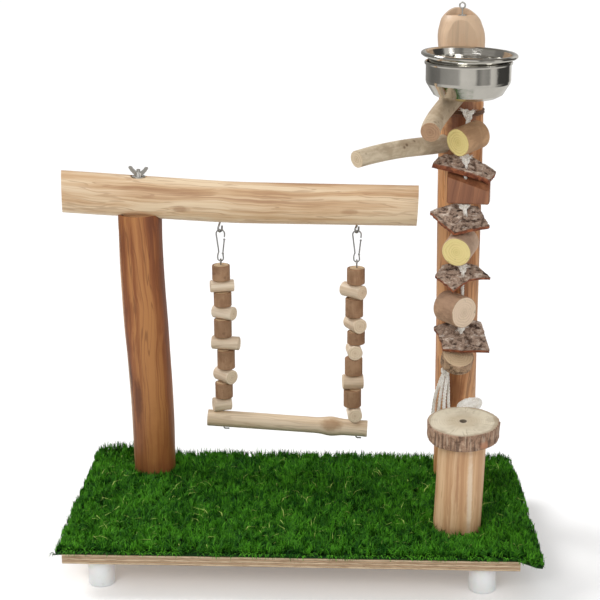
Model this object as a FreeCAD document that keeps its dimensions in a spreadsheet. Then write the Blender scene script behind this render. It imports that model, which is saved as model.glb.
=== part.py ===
import FreeCAD, Part
import math
import os
from types import SimpleNamespace

import Sketcher
from FreeCAD import Matrix, Placement, Rotation, Vector

# ---------------------------------------------------------------------------------------------
# A table-top parrot play stand: a plywood base on four feet under an artificial-grass mat, a
# left post that carries a long perch with a hanging swing, a tall post that carries a food
# bowl, two branches and a hanging chew toy, and a short post with a wood-slice step.
# X runs to the right, Y away from the front, Z up.  Millimetres.
# ---------------------------------------------------------------------------------------------

SIZES = [
    # base and feet
    ("board_length", 550, "plywood board along X"),
    ("board_depth", 300, "plywood board along Y"),
    ("board_thickness", 12, "five-ply board"),
    ("foot_diameter", 33, "white plastic cap foot"),
    ("foot_height", 36, ""),
    ("foot_inset_x", 43, "foot centre from the board's end"),
    ("foot_inset_y", 26, "foot centre from the board's front or rear edge"),
    ("foot_edge_round", 2, "rounded lower edge of a foot"),
    ("foot_recess_diameter", 12, "recess that takes the screw head"),
    ("foot_recess_depth", 22, ""),
    ("foot_screw_diameter", 4, ""),
    ("foot_screw_bite", 9, "how far a foot screw goes into the board"),
    ("screw_clearance", 0.1, "radial gap between a screw or bolt and its hole"),
    # grass mat
    ("mat_overhang", 12, "mat beyond the board's ends and rear edge"),
    ("mat_front_overhang", 2, "mat beyond the board's front edge"),
    ("mat_skew", 19, "how much further the mat's right front corner reaches"),
    ("mat_thickness", 14, "backing and pile together"),
    ("mat_corner_radius", 9, ""),
    ("mat_post_gap", 0.4, "gap between the mat and a post that stands through it"),
    # posts
    ("post_row_y", 110, "plane in which the left and tall posts, perch and swing lie"),
    ("left_post_x", -197, "left post at its foot"),
    ("left_post_top_shift", -9.2, "how far the left post leans by its top"),
    ("left_post_diameter", 57, ""),
    ("left_post_top_diameter", 56.4, "round seat under the perch"),
    ("left_post_length", 362, ""),
    ("tall_post_x", 206, ""),
    ("tall_post_diameter", 53.6, "lower half"),
    ("tall_post_upper_diameter", 56, "upper half"),
    ("tall_post_length", 624, ""),
    ("tall_post_dome_height", 26, "rounded top"),
    ("tall_post_flat_depth", 4.8, "flat behind the bowl, measured into the post"),
    ("tall_post_flat_length", 90, ""),
    ("ledge_drop", 8, "ledge below the post's very top"),
    ("ledge_depth", 22, "ledge measured back from the post's front"),
    ("short_post_x", 202.7, ""),
    ("short_post_y", -62, ""),
    ("short_post_lean", 5, "sideways lean at its top"),
    ("short_post_diameter", 58.8, ""),
    ("short_post_length", 124, ""),
    # screws that hold the posts from below
    ("post_screw_diameter", 5, ""),
    ("post_screw_bite", 40, "length inside a post"),
    ("post_screw_spacing", 24, "two screws side by side"),
    ("post_screw_head_diameter", 9, ""),
    ("post_screw_head_height", 3, ""),
    # perch
    ("perch_left_diameter", 54.4, ""),
    ("perch_right_diameter", 51.8, ""),
    ("perch_left_reach", 100.5, "perch left of the bolt"),
    ("perch_right_reach", 358.5, "perch right of the bolt"),
    ("perch_left_fall", 3.5, "fall of the left part towards the right, degrees"),
    ("perch_right_fall", 0.65, "fall beyond the bend, degrees"),
    ("perch_bend_x", 122, "bend right of the bolt"),
    ("perch_bend_spread", 20, "how gently the perch bends"),
    ("perch_left_cut", 10, "left end sawn off square about Z, degrees"),
    ("perch_left_slant", 3, "and about Y, degrees"),
    ("perch_right_slant", -2, "right end sawn off square about Y, degrees"),
    ("perch_seat_depth", 5.8, "flat let into the underside above the post"),
    ("perch_seat_gap", 1.2, "room round the post's top in that flat"),
    ("bolt_diameter", 5, ""),
    ("bolt_bite", 45, "length inside the left post"),
    ("bolt_stickout", 9, "thread above the washer"),
    ("perch_bore_gap", 0.4, "radial room for the bolt in the perch"),
    ("washer_diameter", 18, ""),
    ("washer_thickness", 1.5, ""),
    ("washer_spot_depth", 1.8, "spot face in the top of the perch"),
    ("washer_spot_gap", 2, "spot face beyond the washer"),
    ("nut_span", 27, "over the two wings"),
    ("nut_height", 12.5, ""),
    ("nut_hub_diameter", 10.5, ""),
    ("nut_hub_height", 5.5, ""),
    ("nut_wing_thickness", 2.2, ""),
    # swing hardware
    ("left_hook_from_bolt", 104, "left screw hook along X from the bolt"),
    ("hook_spacing", 177, "between the two hooks"),
    ("hook_wire_diameter", 2.5, ""),
    ("hook_drop", 13.3, "hook bottom below the perch's underside at the left hook"),
    ("hook_width", 8.4, "between the centres of the hook's two arms"),
    ("hook_tip_height", 7, "height of the open arm"),
    ("hook_bite", 20, "thread inside the perch"),
    ("hook_turn", 30, "turn of the hook about its thread, degrees"),
    ("link_gap", 0.3, "play between linked wires"),
    ("clip_wire_diameter", 1.8, ""),
    ("clip_height", 41.5, "between the top and bottom wire centres"),
    ("clip_width", 12, "between wire centres at the top"),
    ("clip_waist_width", 4.8, ""),
    ("clip_eye_width", 7.8, ""),
    ("clip_waist_drop", 29.5, "waist below the top"),
    ("clip_latch_drop", 11, "latch below the top"),
    ("clip_pivot_drop", 31.5, "pivot ball of the gate below the top"),
    ("clip_ball_diameter", 3, ""),
    ("wire_diameter", 2, "wire through the beads"),
    ("wire_loop_radius", 2.9, "centre line of the loop at the top of the wire"),
    ("wire_foot_length", 7, "end bent over below the bar"),
    ("wire_foot_drop", 3, "wire below the bar before the bend"),
    ("wire_bead_gap", 0.1, "radial gap between a bead and its wire"),
    ("bead_play", 0.3, "gap between one bead and the next"),
    ("left_loop_to_bead", 1, "between the left wire's loop and its first bead"),
    ("right_loop_to_bead", 3.6, "the same on the right wire"),
    ("bark_bead_diameter", 23.4, ""),
    ("bead_chamfer", 0.8, ""),
    ("bar_diameter", 21.7, "swing bar"),
    ("bar_slope_room", 0.9, "room for the sloping bar under the last bead"),
    ("bar_left_overhang", 21.5, "bar beyond the left wire"),
    ("bar_right_overhang", 15, "bar beyond the right wire"),
    ("bar_knot_diameter", 25.8, "swelling of the bar round a knot"),
    # bowl and holder
    ("bowl_rim_diameter", 116, ""),
    ("bowl_wall_diameter", 104, "just under the rolled rim"),
    ("bowl_depth", 51.5, ""),
    ("bowl_floor_diameter", 62, ""),
    ("bowl_sheet", 0.9, "steel sheet"),
    ("bowl_tilt", 2, "left side of the loose bowl sits higher, degrees"),
    ("bowl_rim_roll", 2.4, "radius of the rolled rim"),
    ("bowl_seat_gap", 0.3, "between the bowl's foot and the holder's floor"),
    ("holder_diameter", 102.3, "fixed outer cup"),
    ("holder_lip", 1.8, "small rolled lip beyond the cup's wall"),
    ("holder_height", 44, ""),
    ("holder_straight_height", 24, "upright part of the wall"),
    ("holder_floor_diameter", 68, ""),
    ("holder_floor_level", 526, "cup's underside above the base board"),
    ("bowl_to_post_gap", 0.8, "between the bowl's rim and the flat of the post"),
    ("holder_shift_x", 2.7, "cup centre from the tall post's foot line"),
    ("spacer_diameter", 12, "stand-off between cup and post"),
    ("holder_screw_diameter", 4, ""),
    ("holder_screw_bite", 30, ""),
    ("holder_screw_upper_level", 36, "above the cup's underside"),
    ("holder_screw_lower_level", 26, ""),
    ("holder_screw_head_diameter", 7.5, ""),
    ("holder_screw_head_height", 1.6, ""),
    # eye screw at the top of the tall post
    ("eye_outer_diameter", 9, ""),
    ("eye_wire_diameter", 2, ""),
    ("eye_shaft_height", 9, ""),
    ("eye_washer_diameter", 11, ""),
    ("eye_washer_thickness", 1.2, ""),
    ("eye_bite", 18, ""),
    ("eye_from_front", 14, "eye screw behind the post's front"),
    # branches
    ("lower_branch_diameter", 23, ""),
    ("lower_branch_level", 457, "root above the board"),
    ("upper_branch_diameter", 25, ""),
    ("upper_branch_level", 523, ""),
    ("branch_socket_depth", 12, ""),
    ("branch_socket_gap", 0.15, "radial"),
    ("branch_screw_diameter", 4, ""),
    ("branch_screw_bite", 26, "length inside a branch"),
    ("branch_screw_head_diameter", 8, ""),
    ("branch_screw_recess", 4, "head let into the back of the post"),
    # chew toy
    ("toy_x", 209.5, "line on which the toy hangs"),
    ("toy_y", 60, ""),
    ("toy_rope_diameter", 4.4, ""),
    ("toy_hole_gap", 0.7, "radial gap between the rope and a drilled piece"),
    ("toy_top_level", 497, "upper knot above the board"),
    ("toy_top_shift", 2.8, "upper knot right of the line below it"),
    ("toy_knot_diameter", 11, ""),
    ("toy_top_knot_diameter", 12, ""),
    ("twine_diameter", 2.4, "twine round the tall post"),
    ("twine_groove_depth", 1, ""),
    ("twine_pitch", 2.9, "between the two turns of twine"),
    ("toy_knot_flattening", 0.9, ""),
    ("toy_tail_shift", -19, "last knot beside the line above it"),
    ("toy_tail_level", 167, "last knot above the board"),
    ("toy_strand_diameter", 4.6, "loose strands below the last knot"),
    ("toy_fray_width", 29, ""),
    ("toy_fray_height", 17, ""),
    ("toy_block_width", 52.5, ""),
    ("toy_block_depth", 20, ""),
    ("toy_block_height", 50, ""),
    ("toy_block_level", 389, "underside above the board"),
    ("toy_block_shift", 4.8, ""),
    ("toy_block_turn", 8, ""),
    ("toy_block_edge", 1.5, ""),
    # wood-slice step
    ("slice_diameter", 87, ""),
    ("slice_thickness", 21, ""),
    ("slice_tilt", 5, "front edge lower, degrees"),
    ("slice_hole_diameter", 8, ""),
    ("slice_hole_depth", 7, ""),
    ("slice_screw_diameter", 4.5, ""),
    ("slice_screw_bite", 35, ""),
    ("slice_screw_head_diameter", 7.4, ""),
    ("slice_screw_head_height", 2.6, ""),
]

# One row per bead from the top of a string down: kind, height, length, turn about the wire in
# degrees, and how far the bead sits beside its wire.  A bark bead stands upright; a cross bead
# lies across the wire, so its height is its diameter.
LEFT_STRING = [
    ("bark", 20.1, 0, 0, 0.0),
    ("cross", 16.0, 31.0, 12, 1.0),
    ("bark", 18.5, 0, 0, 1.5),
    ("cross", 18.0, 30.0, -28, 3.0),
    ("bark", 23.5, 0, 0, 1.0),
    ("cross", 18.0, 36.5, -8, 4.5),
    ("bark", 25.5, 0, 0, 4.5),
    ("cross", 19.5, 30.0, -48, 3.0),
    ("bark", 21.0, 0, 0, 1.0),
    ("cross", 18.5, 24.0, 18, -2.0),
]
RIGHT_STRING = [
    ("bark", 21.0, 0, 0, -1.0),
    ("cross", 19.0, 33.0, -42, -4.5),
    ("bark", 25.0, 0, 0, -3.0),
    ("cross", 20.0, 30.0, -62, -2.0),
    ("bark", 16.5, 0, 0, -0.5),
    ("cross", 19.5, 27.0, -82, -3.0),
    ("bark", 23.0, 0, 0, -3.5),
    ("cross", 20.0, 27.0, 8, -4.5),
    ("bark", 24.0, 0, 0, -5.0),
    ("cross", 19.0, 27.0, -84, -2.5),
]

# One row per small log of the toy: number, turn from +X and tip of its axis, degrees.
TOY_LOG_TURNS = [(1, 49, -7), (2, 72, -8), (3, 126, 0), (4, 106, 62)]
# One row per bark plate: number, slope, roll, and its outline seen along its own normal.
TOY_BARK_OUTLINES = [
    (1, 30, 14, [(-40, -6), (-35, 5.5), (-27, 13), (3, 18), (20, 14), (41, 8), (34, -12), (-3, -12)]),
    (2, 35, 0, [(-43, 6), (-32, 10), (-11, 17), (18, 12), (31, -19), (-13, -32), (-29, -15)]),
    (3, 35, 3, [(-35, 0), (-26, 16), (-3, 19), (17, 17), (37, 3), (10, -7), (-12, -28), (-23, -14)]),
    (4, 40, 0, [(-36, 11), (-14, 18), (12, 20), (26, 18), (36, -24), (1, -27), (-24, -24), (-28, -5)]),
]
# Level, shifts, length and diameter of each small log; level, thickness and bow of each plate.
TOY_LOG_SIZES = [
    (471, 2.5, -5, 42, 35),
    (333.5, -4, -4, 40, 37.5),
    (252, -9.3, -5.6, 38, 40),
    (184, -5, -4, 16, 41),
]
TOY_BARK_SIZES = [(437, 9, 150), (375.5, 7, 300), (297, 6, 90), (219, 7, 160)]
# Route points of each loose strand, from the last knot.
TOY_STRANDS = [
    [(-2.4, -2.4, -3), (-5, -3, -22), (-8, -2, -46), (-9, -1, -72)],
    [(2.4, -2.4, -3), (-1, -7, -22), (-2, -8, -46), (-1, -6, -74)],
    [(-2.4, 2.4, -2), (-9, 3, -20), (-15, 4, -44), (-16, 6, -70)],
    [(2.4, 2.4, -2), (4, 1, -24), (4, -1, -50), (10, -4, -70), (21, -7, -72), (30, -8, -58), (32, -8, -44)],
]

# ---------------------------------------------------------------------------------------------
# document and size sheet
# ---------------------------------------------------------------------------------------------

doc = FreeCAD.newDocument("parrot_play_stand")
sheet = doc.addObject("Spreadsheet::Sheet", "Sizes")


def bead_rows(side, beads):
    rows = []
    for number, (kind, height, length, turn, shift) in enumerate(beads, 1):
        rows.append((f"{side}_bead_{number}_height", height, f"{kind} bead"))
        rows.append((f"{side}_bead_{number}_shift", shift, "beside its wire"))
        if kind == "cross":
            rows.append((f"{side}_bead_{number}_length", length, ""))
            rows.append((f"{side}_bead_{number}_turn", turn, "degrees about the wire"))
    return rows


def toy_rows():
    rows = []
    for number, values in enumerate(TOY_LOG_SIZES, 1):
        for key, value in zip(("level", "shift_x", "shift_y", "length", "diameter"), values):
            rows.append((f"toy_log_{number}_{key}", value, ""))
    for number, values in enumerate(TOY_BARK_SIZES, 1):
        for key, value in zip(("level", "thickness", "bow"), values):
            rows.append((f"toy_bark_{number}_{key}", value, ""))
    return rows


ALL_SIZES = SIZES + bead_rows("left", LEFT_STRING) + bead_rows("right", RIGHT_STRING) + toy_rows()
for row, (alias, value, note) in enumerate(ALL_SIZES, 1):
    sheet.set(f"A{row}", note)
    sheet.set(f"B{row}", str(value))
    sheet.setAlias(f"B{row}", alias)
doc.recompute()
size = SimpleNamespace(**{alias: float(getattr(sheet, alias)) for alias, _, _ in ALL_SIZES})

# ---------------------------------------------------------------------------------------------
# helpers
# ---------------------------------------------------------------------------------------------

parts = []
UP = Vector(0, 0, 1)
TO_RIGHT = Vector(1, 0, 0)
TO_REAR = Vector(0, 1, 0)


def keep(obj, label):
    """Names an object as one of the stand's pieces."""
    obj.Label = label
    parts.append(obj)
    return obj


def add(label, shape):
    """A piece whose shape is worked out in code from the sheet."""
    obj = doc.addObject("Part::Feature", label)
    obj.Shape = shape
    return keep(obj, label)


def cylinder(start, direction, radius, length):
    return Part.makeCylinder(radius, length, start, direction)


def hole(shape, start, direction, radius, length):
    return shape.cut(cylinder(start, direction, radius, length))


def direction_of(yaw, fall=0.0):
    """Unit vector turned yaw degrees from +X about Z and falling by fall degrees."""
    yaw_rad = math.radians(yaw)
    fall_rad = math.radians(fall)
    level = math.cos(fall_rad)
    return Vector(level * math.cos(yaw_rad), level * math.sin(yaw_rad), -math.sin(fall_rad))


def round_log(stations):
    """A smooth log through round sections, each (centre, radius, normal)."""
    wires = [Part.Wire(Part.Circle(c, n, r).toShape()) for c, r, n in stations]
    return Part.makeLoft(wires, True, False)


def eased(table, share):
    """A value read from (share, value) rows, eased between neighbours so that nothing overshoots."""
    for (low, first), (high, second) in zip(table, table[1:]):
        if share <= high:
            part_way = min(max((share - low) / (high - low), 0), 1)
            part_way = part_way * part_way * (3 - 2 * part_way)
            return first + (second - first) * part_way
    return table[-1][1]


def upright_log(centre_at, radius_at, count):
    """An upright log whose centre and radius are functions of a share of its length."""
    shares = [i / (count - 1) for i in range(count)]
    return round_log([(centre_at(share), radius_at(share), UP) for share in shares])


def bent_log(points, radius_at, end_normal, count):
    """A log along a smooth curve through points, cut square to end_normal at its far end."""
    curve = Part.BSplineCurve()
    curve.interpolate(points)
    samples = curve.discretize(Number=count)
    stations = []
    for i, sample in enumerate(samples):
        normal = curve.tangent(curve.parameter(sample))[0]
        stations.append((sample, radius_at(i / (count - 1)), normal))
    stations[0] = (points[0], stations[0][1], (points[1] - points[0]).normalize())
    stations[-1] = (points[-1], stations[-1][1], end_normal)
    return round_log(stations)


def tangent_path(points, radii=None):
    """Straight runs joined by tangent arcs; without radii each arc is as large as its runs allow."""
    edges = []
    last = points[0]
    found = []
    for i in range(1, len(points) - 1):
        before = points[i - 1] - points[i]
        after = points[i + 1] - points[i]
        half_turn = (math.pi - before.getAngle(after)) / 2
        radius = radii[i - 1] if radii else 0.45 * min(before.Length, after.Length) / math.tan(half_turn)
        found.append(radius)
        setback = radius * math.tan(half_turn)
        begin = points[i] + before.normalize() * setback
        end = points[i] + after.normalize() * setback
        to_centre = (before + after).normalize()
        middle = points[i] + to_centre * (radius / math.cos(half_turn) - radius)
        if (begin - last).Length > 1e-6:
            edges.append(Part.LineSegment(last, begin).toShape())
        edges.append(Part.Arc(begin, middle, end).toShape())
        last = end
    edges.append(Part.LineSegment(last, points[-1]).toShape())
    return Part.Wire(edges), found


def tube(path, radius):
    """A round rod along a path."""
    first = path.OrderedEdges[0]
    start = first.valueAt(first.FirstParameter)
    along = first.tangentAt(first.FirstParameter)
    if first.Orientation == "Reversed":
        start = first.valueAt(first.LastParameter)
        along = first.tangentAt(first.LastParameter) * -1
    profile = Part.Wire(Part.Circle(start, along, radius).toShape())
    return path.makePipeShell([profile], True, False)


def screw(tip_to_head, tip, direction, head_radius, head_height, radius, countersunk=False):
    """A screw whose shank starts at tip and runs along direction to a head."""
    head_at = tip + direction * tip_to_head
    shank = cylinder(tip, direction, radius, tip_to_head)
    if countersunk:
        head = Part.makeCone(radius, head_radius, head_height, head_at, direction)
    else:
        head = cylinder(head_at, direction, head_radius, head_height)
    return shank.fuse(head).removeSplitter()


def origin_plane(body, role):
    return next(f for f in body.Origin.OriginFeatures if f.Role == role)


def flat_sketch(body, name):
    sketch = body.newObject("Sketcher::SketchObject", name)
    sketch.AttachmentSupport = (origin_plane(body, "XY_Plane"), [""])
    sketch.MapMode = "FlatFace"
    return sketch


def centred_rectangle(sketch, length, depth):
    """A rectangle about the sketch's origin, bound to two sizes of the sheet."""
    corners = [(-1, -1), (1, -1), (1, 1), (-1, 1)]
    for i in range(4):
        a = Vector(corners[i][0] * 10, corners[i][1] * 10, 0)
        b = Vector(corners[(i + 1) % 4][0] * 10, corners[(i + 1) % 4][1] * 10, 0)
        sketch.addGeometry(Part.LineSegment(a, b), False)
    for i in range(4):
        sketch.addConstraint(Sketcher.Constraint("Coincident", i, 2, (i + 1) % 4, 1))
    for i in (0, 2):
        sketch.addConstraint(Sketcher.Constraint("Horizontal", i))
    for i in (1, 3):
        sketch.addConstraint(Sketcher.Constraint("Vertical", i))
    sketch.addConstraint(Sketcher.Constraint("Symmetric", 0, 1, 2, 1, -1, 1))
    sketch.addConstraint(Sketcher.Constraint("DistanceX", 0, 1, 0, 2, 20))
    sketch.renameConstraint(9, "length")
    sketch.addConstraint(Sketcher.Constraint("DistanceY", 1, 1, 1, 2, 20))
    sketch.renameConstraint(10, "depth")
    sketch.setExpression("Constraints.length", length)
    sketch.setExpression("Constraints.depth", depth)


def sketched_circle(sketch, centre_x, centre_y, diameter, name):
    """A circle whose centre and diameter follow expressions."""
    index = sketch.GeometryCount
    sketch.addGeometry(Part.Circle(Vector(1, 1, 0), UP, 2), False)
    count = sketch.ConstraintCount
    for offset, (kind, key, value) in enumerate((
        ("DistanceX", "x", centre_x),
        ("DistanceY", "y", centre_y),
    )):
        sketch.addConstraint(Sketcher.Constraint(kind, -1, 1, index, 3, 1))
        sketch.renameConstraint(count + offset, f"{name}_{key}")
        sketch.setExpression(f"Constraints.{name}_{key}", value)
    sketch.addConstraint(Sketcher.Constraint("Diameter", index, 4))
    sketch.renameConstraint(count + 2, f"{name}_diameter")
    sketch.setExpression(f"Constraints.{name}_diameter", diameter)


# ---------------------------------------------------------------------------------------------
# levels and places that several pieces share
# ---------------------------------------------------------------------------------------------

board_top = size.foot_height + size.board_thickness
mat_top = board_top + size.mat_thickness
post_y = size.post_row_y
bolt_x = size.left_post_x + size.left_post_top_shift
seat_level = board_top + size.left_post_length
gap = size.screw_clearance


def perch_radius(x):
    """Perch radius at a distance x right of the bolt."""
    share = (x + size.perch_left_reach) / (size.perch_left_reach + size.perch_right_reach)
    return (size.perch_left_diameter * (1 - share) + size.perch_right_diameter * share) / 2


perch_centre_level = seat_level - size.perch_seat_depth + perch_radius(0)
left_fall = math.tan(math.radians(size.perch_left_fall))
right_fall = math.tan(math.radians(size.perch_right_fall))


def perch_drop(x):
    """How far the bent perch has fallen at x, against a level line through its bend."""
    beyond = x - size.perch_bend_x
    before = (math.hypot(beyond, size.perch_bend_spread) - beyond) / 2
    return right_fall * beyond - (left_fall - right_fall) * before


def perch_axis(x):
    """Point on the perch's axis at a distance x right of the bolt."""
    return Vector(bolt_x + x, post_y, perch_centre_level - perch_drop(x) + perch_drop(0))


# ---------------------------------------------------------------------------------------------
# base board: one pad with the foot and post screw holes
# ---------------------------------------------------------------------------------------------

board = doc.addObject("PartDesign::Body", "BaseBoard")
board_outline = flat_sketch(board, "BoardOutline")
centred_rectangle(board_outline, "Sizes.board_length", "Sizes.board_depth")
board_pad = board.newObject("PartDesign::Pad", "BoardPad")
board_pad.Profile = board_outline
board_pad.setExpression("Length", "Sizes.board_thickness")
board.setExpression("Placement.Base.z", "Sizes.foot_height")
doc.recompute()

post_screw_hole = "Sizes.post_screw_diameter + 2 * Sizes.screw_clearance"
foot_screw_hole = "Sizes.foot_screw_diameter + 2 * Sizes.screw_clearance"
holes_sketch = flat_sketch(board, "ScrewHoles")
screwed_posts = (
    ("left", "Sizes.left_post_x", "Sizes.post_row_y"),
    ("tall", "Sizes.tall_post_x", "Sizes.post_row_y"),
    ("step", "Sizes.short_post_x", "Sizes.short_post_y"),
)
for post_name, post_x_cell, post_y_cell in screwed_posts:
    for side_name, sign in (("a", "-"), ("b", "+")):
        hole_y = f"{post_y_cell} {sign} Sizes.post_screw_spacing / 2"
        sketched_circle(holes_sketch, post_x_cell, hole_y, post_screw_hole, f"{post_name}_{side_name}")
for side_name, sign_x in (("left", "-"), ("right", "")):
    for end_name, sign_y in (("front", "-"), ("rear", "")):
        hole_x = f"{sign_x}(Sizes.board_length / 2 - Sizes.foot_inset_x)"
        hole_y = f"{sign_y}(Sizes.board_depth / 2 - Sizes.foot_inset_y)"
        sketched_circle(holes_sketch, hole_x, hole_y, foot_screw_hole, f"foot_{side_name}_{end_name}")
doc.recompute()
board_holes = board.newObject("PartDesign::Pocket", "ScrewHolePocket")
board_holes.Profile = holes_sketch
board_holes.Type = 1
board_holes.Reversed = True
doc.recompute()
solid_plate = size.board_length * size.board_depth * size.board_thickness
assert board.Shape.Volume < solid_plate - 1, "the screw holes do not cut the board"
keep(board, "base_board")

# ---------------------------------------------------------------------------------------------
# grass mat: a slab with rounded corners and a hole for each post
# ---------------------------------------------------------------------------------------------

mat_end = size.board_length / 2 + size.mat_overhang
mat_rear = size.board_depth / 2 + size.mat_overhang
mat_front = -size.board_depth / 2 - size.mat_front_overhang
mat_corners = [
    Vector(-mat_end, mat_front, board_top),
    Vector(mat_end + size.mat_skew, mat_front, board_top),
    Vector(mat_end, mat_rear, board_top),
    Vector(-mat_end, mat_rear, board_top),
]
mat_outline = Part.makePolygon(mat_corners + mat_corners[:1])
mat_slab = doc.addObject("Part::Feature", "MatSlab")
mat_slab.Shape = Part.Face(mat_outline).extrude(Vector(0, 0, size.mat_thickness))
doc.recompute()
mat_round = doc.addObject("Part::Fillet", "MatRound")
mat_round.Base = mat_slab
upright_edges = [
    number
    for number, edge in enumerate(mat_slab.Shape.Edges, 1)
    if abs(edge.tangentAt(edge.FirstParameter).z) > 0.99
]
mat_round.Edges = [(number, size.mat_corner_radius, size.mat_corner_radius) for number in upright_edges]
doc.recompute()
mat_hole_list = []
mat_posts = (
    ("Left", "Sizes.left_post_x", "Sizes.post_row_y", "Sizes.left_post_diameter"),
    ("Tall", "Sizes.tall_post_x", "Sizes.post_row_y", "Sizes.tall_post_diameter"),
    ("Step", "Sizes.short_post_x", "Sizes.short_post_y", "Sizes.short_post_diameter"),
)
for post_name, post_x_cell, post_y_cell, diameter_cell in mat_posts:
    mat_hole = doc.addObject("Part::Cylinder", f"MatHole{post_name}")
    lean_room = "+ Sizes.short_post_lean / 8" if post_name == "Step" else ""
    mat_hole.setExpression("Radius", f"{diameter_cell} / 2 + Sizes.mat_post_gap {lean_room}")
    mat_hole.setExpression("Height", "Sizes.mat_thickness")
    mat_hole.setExpression("Placement.Base.x", post_x_cell)
    mat_hole.setExpression("Placement.Base.y", post_y_cell)
    mat_hole.setExpression("Placement.Base.z", "Sizes.foot_height + Sizes.board_thickness")
    mat_hole_list.append(mat_hole)
mat_openings = doc.addObject("Part::MultiFuse", "MatOpenings")
mat_openings.Shapes = mat_hole_list
mat_cut = doc.addObject("Part::Cut", "GrassMat")
mat_cut.Base = mat_round
mat_cut.Tool = mat_openings
keep(mat_cut, "grass_mat")

# ---------------------------------------------------------------------------------------------
# feet and their screws
# ---------------------------------------------------------------------------------------------

foot_places = {}
for side_name, sign_x in (("left", -1), ("right", 1)):
    for end_name, sign_y in (("front", -1), ("rear", 1)):
        foot_places[f"foot_{end_name}_{side_name}"] = Vector(
            sign_x * (size.board_length / 2 - size.foot_inset_x),
            sign_y * (size.board_depth / 2 - size.foot_inset_y),
            0,
        )

for foot_name, place in foot_places.items():
    foot = doc.addObject("PartDesign::Body", foot_name.title().replace("_", ""))
    foot_outline = flat_sketch(foot, f"{foot_name}_outline")
    sketched_circle(foot_outline, "0 * Sizes.foot_diameter", "0 * Sizes.foot_diameter",
                    "Sizes.foot_diameter", "rim")
    sketched_circle(foot_outline, "0 * Sizes.foot_diameter", "0 * Sizes.foot_diameter",
                    foot_screw_hole, "bore")
    foot_pad = foot.newObject("PartDesign::Pad", f"{foot_name}_pad")
    foot_pad.Profile = foot_outline
    foot_pad.setExpression("Length", "Sizes.foot_height")
    doc.recompute()
    recess_sketch = flat_sketch(foot, f"{foot_name}_recess")
    sketched_circle(recess_sketch, "0 * Sizes.foot_diameter", "0 * Sizes.foot_diameter",
                    "Sizes.foot_recess_diameter", "recess")
    recess = foot.newObject("PartDesign::Pocket", f"{foot_name}_screw_recess")
    recess.Profile = recess_sketch
    recess.Reversed = True
    recess.setExpression("Length", "Sizes.foot_recess_depth")
    doc.recompute()
    assert recess.Shape.Volume < foot_pad.Shape.Volume - 1, "the foot's recess cuts nothing"
    rim_edges = [
        f"Edge{number}"
        for number, edge in enumerate(recess.Shape.Edges, 1)
        if abs(edge.BoundBox.ZMax) < 1e-6 and edge.BoundBox.XLength > size.foot_diameter - 0.1
    ]
    foot_round = foot.newObject("PartDesign::Fillet", f"{foot_name}_round")
    foot_round.Base = (recess, rim_edges)
    foot_round.setExpression("Radius", "Sizes.foot_edge_round")
    foot.Placement = Placement(place, Rotation())
    keep(foot, foot_name)

foot_screw_list = []
for place in foot_places.values():
    head_height = size.foot_screw_diameter * 0.6
    head_level = size.foot_recess_depth - head_height
    shank_length = size.foot_height - size.foot_recess_depth + size.foot_screw_bite
    tip = place + UP * (size.foot_recess_depth + shank_length)
    foot_screw_list.append(
        screw(shank_length, tip, UP * -1, size.foot_screw_diameter, head_height,
              size.foot_screw_diameter / 2)
    )
add("foot_screws", Part.makeCompound(foot_screw_list))

# ---------------------------------------------------------------------------------------------
# posts
# ---------------------------------------------------------------------------------------------


def post_screw_tools(x, y):
    """Two screw holes that enter a post from below."""
    tools = []
    for side in (-1, 1):
        start = Vector(x, y + side * size.post_screw_spacing / 2, board_top - 1)
        tools.append(cylinder(start, UP, size.post_screw_diameter / 2 + gap, size.post_screw_bite + 2))
    return tools


def post_screw_solids(x, y):
    solids = []
    for side in (-1, 1):
        tip = Vector(x, y + side * size.post_screw_spacing / 2, board_top + size.post_screw_bite)
        length = size.post_screw_bite + size.board_thickness
        solids.append(
            screw(length, tip, UP * -1, size.post_screw_head_diameter / 2,
                  size.post_screw_head_height, size.post_screw_diameter / 2)
        )
    return solids


left_radius = size.left_post_diameter / 2
left_top_radius = size.left_post_top_diameter / 2


def left_post_centre(share):
    """Axis of the left post at a share of its length: upright at both ends, bent in between."""
    lean = size.left_post_top_shift * eased([(0, 0), (0.15, 0.02), (0.9, 0.99), (1, 1)], share)
    return Vector(size.left_post_x + lean, post_y, board_top + share * size.left_post_length)


left_post_table = [
    (0, left_radius * 0.96),
    (0.2, left_radius * 0.985),
    (0.45, left_radius),
    (0.58, left_radius * 1.02),
    (0.75, left_radius * 1.005),
    (0.9, left_top_radius),
    (1, left_top_radius),
]
left_post = upright_log(left_post_centre, lambda share: eased(left_post_table, share), 16)
bolt_foot = Vector(bolt_x, post_y, seat_level - size.bolt_bite)
for tool in post_screw_tools(size.left_post_x, post_y):
    left_post = left_post.cut(tool)
left_post = hole(left_post, bolt_foot - UP, UP, size.bolt_diameter / 2 + gap, size.bolt_bite + 2)
add("left_post", left_post)

lower_radius = size.tall_post_diameter / 2
upper_radius = size.tall_post_upper_diameter / 2
tall_top = board_top + size.tall_post_length
dome_base = tall_top - size.tall_post_dome_height


def tall_centre(level):
    """Axis of the tall post: almost straight, with a slight sweep to the left at the top."""
    share = (level - board_top) / size.tall_post_length
    return Vector(size.tall_post_x - 0.9 * share - 4.8 * share**16, post_y, level)


def tall_radius(level):
    """Radius of the tall post: the upper half is a little stouter."""
    share = (level - board_top) / (dome_base - board_top)
    blend = min(max((share - 0.35) / 0.3, 0), 1)
    return lower_radius + (upper_radius - lower_radius) * blend


dome_table = [(0, 1.0), (0.4, 0.885), (0.6, 0.77), (0.8, 0.58), (0.92, 0.42), (1, 0.25)]


def tall_section(share):
    """Level of a section of the tall post and its radius, dome included."""
    level = board_top + share * size.tall_post_length
    if level <= dome_base:
        return level, tall_radius(level)
    return level, upper_radius * eased(dome_table, (level - dome_base) / size.tall_post_dome_height)


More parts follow.
